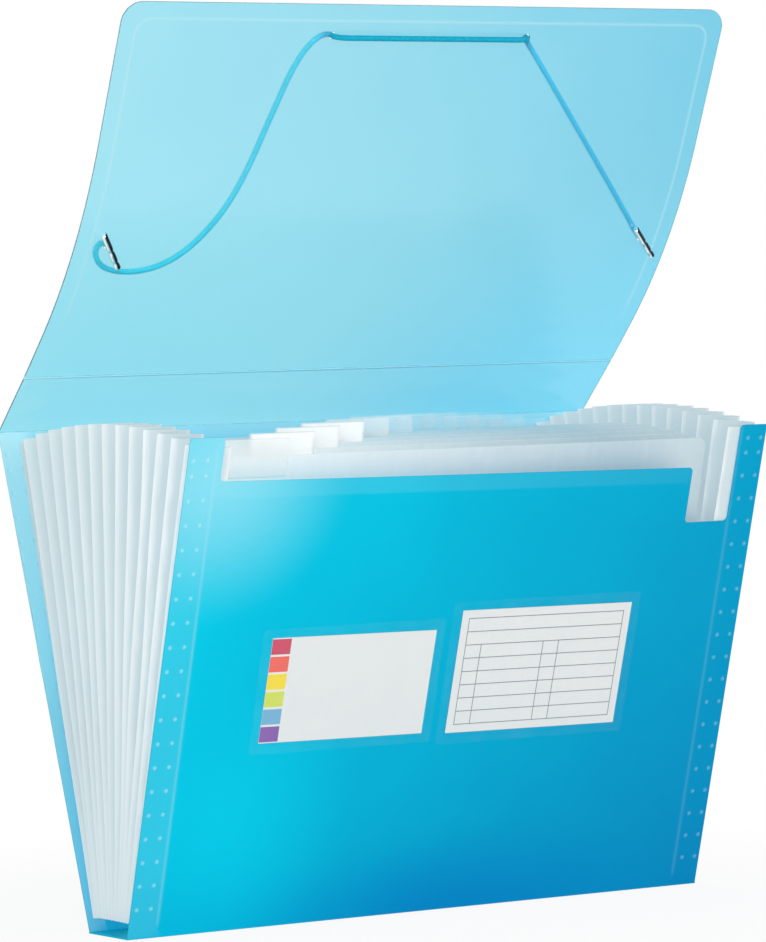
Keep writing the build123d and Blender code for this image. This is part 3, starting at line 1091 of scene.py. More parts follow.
    def border_distance(self, points: np.ndarray) -> np.ndarray:
        """Distance of flap points from the embossed line: a rounded box's signed distance, without its sign.

        Args:
            points: X and run of the points.

        Returns:
            One distance to a point.
        """
        reach = np.abs(points[:, 0]) - (self.back_half - self.border_inset - self.border_radius)
        rise = points[:, 1] - (self.flap_length - self.border_inset - self.border_radius)
        outer = np.hypot(np.maximum(reach, 0), np.maximum(rise, 0)) - self.border_radius
        return np.abs(outer + np.minimum(np.maximum(reach, rise), 0))

    def border_points(self) -> np.ndarray:
        """Rows of points along the embossed line, which climbs one side, crosses the top and comes down.

        Returns:
            X and run of the points.
        """
        half = self.back_half - self.border_inset - self.border_radius
        top = self.flap_length - self.border_inset - self.border_radius
        step = self.border_step
        climb = np.arange(self.border_foot, top, step)
        across = np.arange(-half + step, half - self.border_close, step)
        turn = np.linspace(0, math.pi / 2, self.border_arc)
        rows = []
        for row in self.border_rows:
            radius = self.border_radius + row * self.border_width
            arc = np.stack((half + radius * np.cos(turn), top + radius * np.sin(turn)), 1)
            wall = np.stack((np.full(len(climb), half + radius), climb), 1)
            right = np.vstack((wall, arc))
            rows += [right, right * (-1, 1), np.stack((across, np.full(len(across), top + radius)), 1)]
        return np.vstack(rows)

    def dots(self, half: float) -> np.ndarray:
        """Middles of the weld dots down both sides of a panel.

        Args:
            half: Half the panel's width.

        Returns:
            X and run of each dot.
        """
        top = self.fan.panel_height - self.dot_drop
        rise = np.concatenate(([top], np.arange(top - self.dot_close, self.dot_step / 2, -self.dot_step)))
        columns = [side.value * (half - inset) for side in Side for inset in self.dot_insets]
        return np.stack(np.meshgrid(columns, rise), -1).reshape(-1, 2)

    def dot_points(self, dots: np.ndarray) -> np.ndarray:
        """Points of the dots' domes: their middles and the rings about them.

        Args:
            dots: Middles of the dots.

        Returns:
            X and run of the points.
        """
        turn = ring_angles(self.dot_facets)
        ring = np.stack((np.cos(turn), np.sin(turn)), 1)
        rings = [dots[:, None] + ring * self.dot_radius * share for share in self.dot_rings]
        return np.vstack((dots, *(points.reshape(-1, 2) for points in rings)))

    def dot_height(self, points: np.ndarray, dots: np.ndarray) -> np.ndarray:
        """Height share of the dots' domes: one less the square of the distance over the radius."""
        gap = np.linalg.norm(points[:, None] - dots[None], axis=2).min(1)
        return np.clip(1 - (gap / self.dot_radius) ** 2, 0, 1)

    def hem_level(self, x: np.ndarray, half: float) -> np.ndarray:
        """Lower edge of the paler band under the front's finger cut, which falls to the right with the cut.
        """
        return self.fan.panel_height - self.cut_depth - self.hem - self.cut_fall * (x + half) / (2 * half)

    def pale_lines(self, leaf: int, half: float) -> list[np.ndarray]:
        """Points along a panel's two weld lines and, on the front, along the paler band under the finger cut.

        Args:
            leaf: The panel's number in the fan.
            half: Half its width.

        Returns:
            X and run of the points, line by line.
        """
        climb = np.arange(self.seam_margin, self.fan.panel_height - self.seam_margin, self.seam_step)
        seams = [
            np.stack((np.full(len(climb), side.value * (half - self.weld_inset + shift)), climb), 1)
            for side in Side
            for shift in self.seam_shifts
        ]
        across = np.arange(-half + self.hem_margin, half - self.hem_margin, self.hem_step)
        level = self.hem_level(across, half)
        cut_bands = [np.stack((across, level + shift), 1) for shift in (-self.hem_shift, self.hem_shift)]
        return seams + cut_bands if leaf == 0 else seams

    def paleness(self, points: np.ndarray, domes: np.ndarray, leaf: int, half: float) -> np.ndarray:
        """How far a panel's points are paled: by its dots, weld lines, weld strips or the band under the
        finger cut, the most of them.

        Args:
            points: X and run of the points.
            domes: Height share of the dots there.
            leaf: The panel's number in the fan.
            half: Half its width.

        Returns:
            One share from 0 to 1 to a point.
        """
        x, run = points.T
        left = x < 0
        reach = np.abs(x) - (half - self.weld_inset)
        seam = np.exp(-((reach / self.seam_width) ** 2)) * smooth_step(run, *self.seam_fade)
        strip = smooth_step(reach, -self.weld_soft, self.weld_soft)
        # On the dots the paleness is partly their weld and partly a painted highlight, palest at the top of
        # each dome
        pales = [domes * np.where(left, *self.dot_pale), seam * np.where(left, *self.seam_pale)]
        if leaf == 0:
            banded = smooth_step(run - self.hem_level(x, half), -self.hem_soft, self.hem_soft) * (1 - strip)
            pales.append(banded * np.interp(x, (-half, half), self.hem_pale))
            pales.append(strip * np.where(left, *self.front_strip_pale))
        else:
            pales.append(strip * np.interp(run, (0, self.fan.panel_height), self.back_strip_pale))
        return np.maximum.reduce(pales)

    def front_outline(self) -> np.ndarray:
        """Front panel's edge, with the shallow finger cut and the notch at its right end.

        Returns:
            The outline's points, two to a row.
        """
        half, top = self.front_half, self.fan.panel_height
        left, right = -half + self.left_strip, half - self.right_strip
        notch = right - self.notch_width
        cut, deep, radius = top - self.cut_depth, top - self.notch_depth, self.cut_radius
        fallen = cut - self.cut_fall * (notch - left) / (right - left)
        return rounded_outline(
            [
                (-half, 0, self.corner),
                (half, 0, self.corner),
                (half, top - self.right_drop, self.corner),
                (right, top - self.right_drop, radius),
                (right, deep, radius),
                (notch, deep, radius),
                (notch, fallen, radius),
                (left, cut, radius),
                (left, top, radius),
                (-half, top, self.corner),
            ]
        )

    def inside(self, points: np.ndarray, outline: np.ndarray) -> np.ndarray:
        """Keeps the points that lie well inside an outline, by counting the edges to their right.

        Args:
            points: Points, two to a row.
            outline: The outline's points.

        Returns:
            The points that stay.
        """
        after = np.roll(outline, -1, 0)
        x, y = points[:, :1], points[:, 1:]
        spans = (outline[:, 1] > y) != (after[:, 1] > y)
        climb = np.where(after[:, 1] == outline[:, 1], 1, after[:, 1] - outline[:, 1])
        right = x < outline[:, 0] + (y - outline[:, 1]) * ((after[:, 0] - outline[:, 0]) / climb)
        kept = (spans & right).sum(1) % 2 == 1
        return points[kept & (edge_distance(points, outline) > self.edge_margin)]

    def panel(self, name: str, leaf: int, outline: np.ndarray, half: float, finish: Material) -> None:
        """Makes the front or back panel, with its weld dots.

        Args:
            name: The node that it replaces.
            leaf: Its number in the fan.
            outline: Its edge.
            half: Half its width.
            finish: Its material.
        """
        dots = self.dots(half)
        extra = self.inside(np.vstack((self.dot_points(dots), *self.pale_lines(leaf, half))), outline)
        blank = Blank.cut(outline, self.spacing, extra=extra)
        domes = self.dot_height(blank.points, dots)
        outwards = 1 if leaf == 0 else -1
        shape = blank.solid(self.fan.place(leaf), self.sheet, domes * self.dot_rise * outwards)
        weld = blank.spread(self.paleness(blank.points, domes, leaf, half))
        piece = add_piece(name + "_sheet", *shape, finish, weld, shadow=leaf != 0)
        stand_for(piece, self.fan.body(leaf), "cover_blue", name)

    def build_base(self, finish: Material) -> None:
        """Makes the strip that the folder stands on.

        Args:
            finish: Its material.
        """
        reach = self.fan.pivots[-1][0] - self.sheet / 2 - self.crease_gap
        halves, radii = (self.front_half, self.back_foot_half), (self.corner, self.corner)
        blank = Blank.cut(four_sided((-reach, reach), halves, radii), self.spacing)
        shape = blank.solid(self.put_base, self.sheet, self.sheet / 2)
        stand_for(add_piece("base_sheet", *shape, finish), "base", "cover_blue", "base_strip")

    def build_strip(self, finish: Material) -> None:
        """Makes the strip between the two top creases.

        Args:
            finish: Its material.
        """
        ends = (self.sheet / 2 + self.crease_gap, self.strip_depth + self.sheet / 2)
        edge = four_sided(ends, (self.back_half, self.back_half), (self.corner, self.corner))
        shape = Blank.cut(edge, self.spacing).solid(self.put_strip, self.sheet)
        piece = add_piece("top_strip_sheet", *shape, finish, shadow=False)
        stand_for(piece, "top_strip", "cover_blue", "top_strip")

    def build_flap(self, finish: Material) -> None:
        """Makes the flap, with its holes and its embossed border line.

        Args:
            finish: Its material.
        """
        ends = (self.strip_depth + self.sheet / 2 + self.crease_gap, self.flap_length)
        halves, radii = (self.back_half, self.back_half), (self.corner, self.flap_corner)
        edge = four_sided(ends, halves, radii, arc_steps=self.flap_corner_steps)
        turn = ring_angles(self.hole_facets)
        ring = np.stack((np.cos(turn), np.sin(turn)), 1) * self.hole_radius
        holes = tuple(
            ring + (side.value * reach, self.flap_length - drop)
            for side in Side
            for reach, drop in (self.top_hole, self.tie_hole)
        )
        blank = Blank.cut(edge, self.flap_spacing, holes, self.border_points())
        fade = smooth_step(blank.points[:, 1], *(self.border_foot + way for way in self.border_fade))
        line = np.exp(-((self.border_distance(blank.points) / self.border_width) ** 2)) * fade
        shape = blank.solid(self.put_flap, self.sheet, -line * self.border_rise)
        piece = add_piece("flap_sheet", *shape, finish, blank.spread(line * self.border_pale), shadow=False)
        stand_for(piece, "flap", "cover_blue", "flap")

    def add_crease(self, node: str, body: str, spot: np.ndarray, half: float, finish: Material) -> None:
        """Makes the round bead of one living hinge, carried across the folder.

        Args:
            node: The node that it belongs to.
            body: The body that carries it.
            spot: Y and Z of the crease.
            half: Half its length.
            finish: Its material.
        """
        turn = ring_angles(self.bead_facets)
        across = np.linspace(-half, half, self.bead_steps)[:, None]
        y = spot[0] + self.bead * np.cos(turn)[None, :]
        z = spot[1] + self.bead * np.sin(turn)[None, :]
        shape = carried_profile(np.stack(np.broadcast_arrays(across, y, z), -1))
        piece = add_piece(f"{node}_crease_{spot[1]:.0f}", *shape, finish)
        stand_for(piece, body, "cover_blue", node)

    def build(self, front: Material, back: Material, flap: Material, crease: Material) -> None:
        """Makes the five sheets of the cover and the beads of its living hinges.

        Args:
            front: Finish of the front panel, the base and their creases.
            back: Finish of the back panel.
            flap: Finish of the top strip and flap.
            crease: Finish of the two whitened top creases.
        """
        self.panel("front_panel", 0, self.front_outline(), self.front_half, front)
        halves, radii = (self.back_foot_half, self.back_half), (self.corner, self.corner)
        back_edge = four_sided((0, self.fan.panel_height), halves, radii)
        self.panel("back_panel", self.fan.last, back_edge, self.back_half, back)
        self.build_base(front)
        self.build_strip(flap)
        self.build_flap(flap)
        self.add_crease("front_panel", "front", self.fan.pivots[0], self.front_half, front)
        self.add_crease("back_panel", "back", self.fan.pivots[-1], self.back_foot_half, front)
        self.add_crease("back_panel", "back", self.strip_crease, self.back_half, crease)
        self.add_crease("top_strip", "top_strip", self.flap_crease, self.back_half, crease)


@dataclass
class Gussets:
    """The pleated side walls, one piece of film to each pocket and a welded flange at each end."""

    fan: Fan
    film: float = 0.3
    valley: float = 136.0
    flange: float = 155.0
    flange_columns: int = 4
    foot: float = 6.0
    top: float = 230.0
    ridge_depth: float = 20.0
    fold_round: float = 0.14
    weld_stand: float = 0.65
    columns: int = 15
    rows: int = 30
    waver: float = 0.35
    waves: int = 3

    def stand(self, leaf: int) -> float:
        """Stand-off of the film at a leaf: behind the front panel, before the back panel and on a divider."""
        return -self.weld_stand if leaf == 0 else self.weld_stand if leaf == self.fan.last else 0.0

    def pleat(self, pocket: int, side: Side, seed: int) -> np.ndarray:
        """Middle surface of one pocket's pleat.

        Across it runs from one leaf's valley over the ridge to the next leaf's valley. The ridge stands out
        so that each leg keeps its length down the pleat, and its fold is rounded as a hyperbola is.

        Args:
            pocket: Number of the pocket's front leaf.
            side: The folder's side.
            seed: Seed of the film's small unevenness.

        Returns:
            Points by row and column.
        """
        random = np.random.default_rng(seed)
        run = np.linspace(self.foot, self.top, self.rows)[:, None]
        across = np.linspace(-1, 1, self.columns)[None, :]
        near, far = (self.fan.put(leaf, 0.0, run, self.stand(leaf)) for leaf in (pocket, pocket + 1))
        middle = near * ((1 - across) / 2)[..., None] + far * ((1 + across) / 2)[..., None]
        pitch = np.linalg.norm(far - near, axis=-1)
        leg = math.hypot(pitch[-1, 0] / 2, self.ridge_depth)
        depth = np.sqrt(leg**2 - (pitch / 2) ** 2)
        bend = self.fold_round
        crest = (math.hypot(1, bend) - np.hypot(across, bend)) / (math.hypot(1, bend) - bend)
        orders = np.arange(1, self.waves + 1)
        sines = np.sin(np.outer(orders, np.linspace(0, math.pi, self.rows)))
        wave = random.normal(0, 1, self.waves) @ sines
        middle[..., 0] = side.value * (self.valley + depth * crest)
        middle[..., 1] += (wave * self.waver)[:, None] * (1 - across**2)
        return middle

    def build(self, finish: Material) -> None:
        """Makes every pleat and flange of both walls.

        Args:
            finish: Their material.
        """
        run = np.linspace(self.foot, self.top, self.rows)[:, None]
        for side in Side:
            node = f"{side.word}_gusset"
            for pocket in range(self.fan.last):
                self.add_pleat(pocket, side, node, finish)
            x = side.value * np.linspace(self.valley, self.flange, self.flange_columns)[None, :]
            for leaf in (0, self.fan.last):
                shape = thick_grid(self.fan.put(leaf, x, run, self.stand(leaf)), self.film)
                piece = add_piece(f"{node}_flange_{leaf:02d}", *shape, finish, shadow=False)
                stand_for(piece, self.fan.body(leaf), "gusset_white", node)

    def add_pleat(self, pocket: int, side: Side, node: str, finish: Material) -> None:
        """Makes one pleat at rest, and hides the gusset node that it replaces.

        Its outer leaf is the one of its two leaves that swings more, and the middle pocket's pleat is made as
        two legs split at the ridge. Where each would start and end its turn is worked out but not used.

        Args:
            pocket: Number of the pocket's front leaf.
            side: The folder's side.
            node: The node that it replaces.
            finish: Its material.
        """
        middle = self.pleat(pocket, side, pocket * 2 + (side is Side.RIGHT))
        shares = self.fan.shares[[pocket, pocket + 1]]
        if shares[0] * shares[1] < 0:
            half = self.columns // 2 + 1
            parts = [(middle[:, :half], pocket, pocket + 1), (middle[:, half - 1 :], pocket + 1, pocket)]
        else:
            outer, inner = (pocket, pocket + 1) if abs(shares[0]) > abs(shares[1]) else (pocket + 1, pocket)
            parts = [(middle, outer, inner)]
        for letter, (film, outer, inner) in zip("ab", parts):
            shape = thick_grid(film, self.film)
            piece = add_piece(f"{node}_pleat_{pocket + 1:02d}{letter}", *shape, finish, shadow=False)
            start, end = self.swing(outer, inner, len(parts) > 1)
            self.fan.body(outer)
            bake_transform(piece)
            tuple(start)
            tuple(end)
            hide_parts(node)

    def swing(self, outer: int, inner: int, halved: bool) -> tuple[tuple, tuple]:
        """Works out where a pleat starts to turn and where it turns fully.

        The way from start to end runs square to the pocket's middle plane. At the pocket's top its eased
        share is the inner leaf's swing over the outer's at the inner valley, and 1 at the outer valley.

        Args:
            outer: The leaf that swings more.
            inner: The other leaf.
            halved: Whether the film ends at the ridge, which then stays still.

        Returns:
            Start and end points, in metres.
        """
        end, other = (self.fan.put(leaf, 0.0, self.top, 0.0) for leaf in (outer, inner))
        if halved:
            return tuple((end + other) / 2 * MM), tuple(end * MM)
        ratio = self.fan.shares[inner] / self.fan.shares[outer]
        share = 0.5 - math.sin(math.asin(1 - 2 * ratio) / 3)
        start = end + (other - end) / (1 - share)
        turn = self.fan.lean * (self.fan.shares[outer] + self.fan.shares[inner]) / 2
        square = np.array((0, math.cos(turn), math.sin(turn)))
        reach = float((end - start) @ square)
        return tuple((end - square * reach) * MM), tuple(end * MM)


@dataclass
class Dividers:
    """The milky leaves, their clear index tabs and the first tabs' paper labels."""

    fan: Fan
    sheet: float = 0.5
    half: float = 133.0
    height: float = 221.5
    corner: float = 4.0
    foot_corner: float = 0.4
    spacing: float = 24.0
    bow: float = 0.5
    bow_phase: float = 6.0
    tab_width: float = 34.0
    tab_top: float = 229.5
    tab_grip: float = 9.5
    tab_film: float = 0.3
    tab_play: float = 0.05
    tab_steps: int = 9
    crown_steps: int = 9
    labels: tuple[int, ...] = (2, 3, 4)
    label_paper: float = 0.25
    label_margin: float = 0.8
    label_corner: float = 0.3
    label_edge: float = 0.05
    label_spacing: float = 4.0

    def tab_middle(self, leaf: int) -> float:
        """X of a leaf's tab: the tabs step evenly from the left edge to the right."""
        reach = self.half - self.tab_width / 2
        return reach * (2 * (leaf - 1) / (self.fan.last - 2) - 1)

    def build(self, finish: Material, film: Material, paper: Material) -> None:
        """Makes every divider with its tab, and the labels of the first few.

        Args:
            finish: Finish of the dividers.
            film: Finish of the tabs.
            paper: Finish of the labels.
        """
        edge = four_sided((0, self.height), (self.half, self.half), (self.foot_corner, self.corner))
        blank = Blank.cut(edge, self.spacing)
        x, run = blank.points.T
        for leaf in range(1, self.fan.last):
            random = np.random.default_rng(leaf)
            size, phase = random.uniform(-1, 1), random.uniform(0, self.bow_phase)
            ripple = size * np.sin(x / self.half * math.pi + phase)
            lift = self.bow * ripple * np.sin(run / self.height * math.pi)
            shape = blank.solid(self.fan.place(leaf), self.sheet, lift)
            piece = add_piece(f"divider_{leaf:02d}_sheet", *shape, finish, shadow=False)
            stand_for(piece, self.fan.body(leaf), "divider_white", f"divider_{leaf:02d}")
            self.add_tab(leaf, film, leaf in self.labels)
            if leaf in self.labels:
                self.add_label(leaf, paper)

    def add_tab(self, leaf: int, finish: Material, holds: bool) -> None:
        """Makes one tab over the leaf's edge: a film folded round its slip, or pressed flat if it is empty.

        Args:
            leaf: Number of its divider.
            finish: Its film.
            holds: Whether it holds a slip.
        """
        back = self.sheet / 2 + self.tab_play
        room = 2 * back + self.label_paper + self.tab_play
        foot, middle = self.height - self.tab_grip, room / 2 - back
        turn = np.linspace(-math.pi / 2, math.pi / 2, self.crown_steps)
        crown = self.tab_top - room / 2 - self.tab_film
        skins = []
        for half in (room / 2 + self.tab_film, room / 2):
            arc = np.stack((crown + half * np.cos(turn), middle + half * np.sin(turn)), 1)
            skins.append(np.vstack(((foot, middle - half), arc, (foot, middle + half))))
        profile = np.vstack((skins[0], skins[1][::-1])) if holds else skins[0]
        across = np.linspace(-0.5, 0.5, self.tab_steps) * self.tab_width + self.tab_middle(leaf)
        rings = self.fan.put(leaf, across[:, None], profile[None, :, 0], profile[None, :, 1])
        piece = add_piece(f"index_tab_{leaf:02d}_film", *carried_profile(rings), finish)
        stand_for(piece, self.fan.body(leaf), "tab_clear", f"index_tab_{leaf:02d}")

    def add_label(self, leaf: int, finish: Material) -> None:
        """Makes one blank paper slip inside its tab.

        Args:
            leaf: Number of its divider.
            finish: Its paper.
        """
        half = self.tab_width / 2 - self.label_margin
        ends = (self.height - self.tab_grip + self.tab_play, self.tab_top - 2 * self.tab_film)
        radii = (self.label_corner, self.label_corner)
        edge = four_sided(ends, (half, half), radii, self.tab_middle(leaf))
        lift = self.sheet / 2 + self.tab_play + self.label_paper / 2
        blank = Blank.cut(edge, self.label_spacing)
        points, triangles = blank.solid(self.fan.place(leaf), self.label_paper, lift, self.label_edge)
        ink = np.zeros((len(triangles), 4))
        piece = add_piece(f"tab_label_{leaf:02d}_slip", points, triangles, finish, ink=ink)
        stand_for(piece, f"tab_label_{leaf:02d}", "label_white", f"tab_label_{leaf:02d}")


@dataclass(frozen=True)
class CardForm:
    """Size and place of one card on the front panel, and of the sleeve round it."""

    side: Side
    width: float
    height: float
    x: float
    rise: float
    turn_deg: float

    def put(self, points: np.ndarray) -> np.ndarray:
        """Turns card points about the card's middle, onto the front panel.

        Args:
            points: Points from the card's lower left corner, two to a row.

        Returns:
            X and run on the panel.
        """
        sine, cosine = math.sin(math.radians(self.turn_deg)), math.cos(math.radians(self.turn_deg))
        x, y = points[:, 0] - self.width / 2, points[:, 1] - self.height / 2
        return np.stack((self.x + x * cosine - y * sine, self.rise + x * sine + y * cosine), 1)


@dataclass(frozen=True)
class Mark:
    """One printed box on a card, from its lower left corner, and its colour."""

    left: float
    low: float
    right: float
    high: float
    colour: str

    def covers(self, spots: np.ndarray) -> np.ndarray:
        """Whether each place on the card lies in the box."""
        return ((spots > (self.left, self.low)) & (spots < (self.right, self.high))).all(1)


@dataclass
class Cards:
    """The two printed cards and their clear sleeves on the front panel."""

    fan: Fan
    sheet: float = 0.8
    paper: float = 0.3
    room: float = 0.5
    film: float = 0.3
    seat: float = 0.05
    margin: float = 5.0
    rim: float = 2.0
    corner: float = 2.0
    sleeve_edge: float = 0.1
    sleeve_spacing: float = 6.0
    columns: int = 13
    rows: int = 9
    block_width: float = 10.0
    block_gap: float = 1.0
    blocks: tuple[str, ...] = ("#8A5FA9", "#76B1D1", "#D2DC5C", "#F8D93B", "#F0675A", "#CF4A63")
    line: float = 0.45
    line_colour: str = "#8F9296"
    table_inset: float = 4.0
    table_full_rows: int = 2
    table_rows: int = 8
    column_shares: Spot = (0.1, 0.5, 0.6)
    forms: tuple[CardForm, ...] = (
        CardForm(Side.LEFT, 88.0, 50.0, -58.2, 114.2, -0.7),
        CardForm(Side.RIGHT, 95.0, 59.5, 46.6, 117.0, -0.6),
    )

    def block_marks(self, form: CardForm) -> list[Mark]:
        """Colour blocks down the card's left edge.

        Args:
            form: The card.

        Returns:
            The blocks, from the foot up.
        """
        step, gap = form.height / len(self.blocks), self.block_gap / 2
        return [
            Mark(0.0, number * step + gap, self.block_width, (number + 1) * step - gap, colour)
            for number, colour in enumerate(self.blocks)
        ]

    def table_marks(self, form: CardForm) -> list[Mark]:
        """Blank ruled table: full rows on top, then rows in four columns, as boxes of thin lines.

        Args:
            form: The card.

        Returns:
            The lines: level ones, the two sides and the columns.
        """
        inset, half, colour = self.table_inset, self.line / 2, self.line_colour
        left, right, low, high = inset, form.width - inset, inset, form.height - inset
        step = (high - low) / self.table_rows
        levels = [low + step * number for number in range(self.table_rows + 1)]
        marks = [Mark(left - half, level - half, right + half, level + half, colour) for level in levels]
        uprights = [(x, high) for x in (left, right)]
        inner_top = levels[self.table_rows - self.table_full_rows]
        uprights += [(left + (right - left) * share, inner_top) for share in self.column_shares]
        return marks + [Mark(x - half, low, x + half, top, colour) for x, top in uprights]

    def add_card(self, form: CardForm, finish: Material) -> None:
        """Makes one card on a grid whose lines follow the edges of its print.

        Args:
            form: The card's size and place.
            finish: Its paper.
        """
        marks = self.block_marks(form) if form.side is Side.LEFT else self.table_marks(form)
        x_edges = [edge for mark in marks for edge in (mark.left, mark.right)]
        y_edges = [edge for mark in marks for edge in (mark.low, mark.high)]
        xs = np.unique(np.round(np.concatenate((x_edges, np.linspace(0, form.width, self.columns))), 3))
        ys = np.unique(np.round(np.concatenate((y_edges, np.linspace(0, form.height, self.rows))), 3))
        grid = np.stack(np.meshgrid(xs, ys), -1)
        spots = form.put(grid.reshape(-1, 2))
        stand = self.sheet / 2 + self.room / 2
        middle = self.fan.put(0, spots[:, 0], spots[:, 1], stand).reshape(*grid.shape[:2], 3)
        points, triangles = thick_grid(middle, self.paper)
        flat = np.tile(grid.reshape(-1, 2), (2, 1))[triangles].mean(1)
        front = triangles.max(1) < len(spots)
        front = front if self.faces_front(points, triangles[front]) else triangles.min(1) >= len(spots)
        ink = np.zeros((len(triangles), 4))
        for mark in marks:
            ink[mark.covers(flat) & front] = linear(mark.colour)
        piece = add_piece(f"{form.side.word}_card_paper", points, triangles, finish, ink=ink)
        stand_for(piece, f"{form.side.word}_card", "card_grey", f"{form.side.word}_card")

    def faces_front(self, points: np.ndarray, triangles: np.ndarray) -> bool:
        """Whether a set of triangles lies nearer to the folder's front than the rest."""
        return bool(points[triangles.ravel(), 1].mean() < points[:, 1].mean())

    def add_sleeve(self, form: CardForm, finish: Material) -> None:
        """Makes one clear sleeve: a film over the card, with its welded rim on three sides.

        Args:
            form: The card's size and place.
            finish: Its film.
        """
        half_x, half_y = form.width / 2 + self.margin, form.height / 2 + self.margin
        ends, radii = (form.rise - half_y, form.rise + half_y), (self.corner, self.corner)
        edge = four_sided(ends, (half_x, half_x), radii, form.x)
        blank = Blank.cut(edge, self.sleeve_spacing)
        open_top = blank.points[:, 1] > ends[1] - self.rim
        rim = smooth_step(edge_distance(blank.points, edge), 0.0, self.rim)
        room = np.where(open_top, 1.0, rim) * (self.room - self.seat)
        lift = self.sheet / 2 + self.film / 2 + self.seat + room
        shape = blank.solid(self.fan.place(0), self.film, lift, self.sleeve_edge)
        piece = add_piece(f"{form.side.word}_sleeve_film", *shape, finish)
        stand_for(piece, "front", "tab_clear", f"{form.side.word}_sleeve")

    def build(self, paper: Material, film: Material) -> None:
        """Makes both cards and both sleeves.

        Args:
            paper: Finish of the cards.
            film: Finish of the sleeves.
        """
        for form in self.forms:
            self.add_card(form, paper)
            self.add_sleeve(form, film)


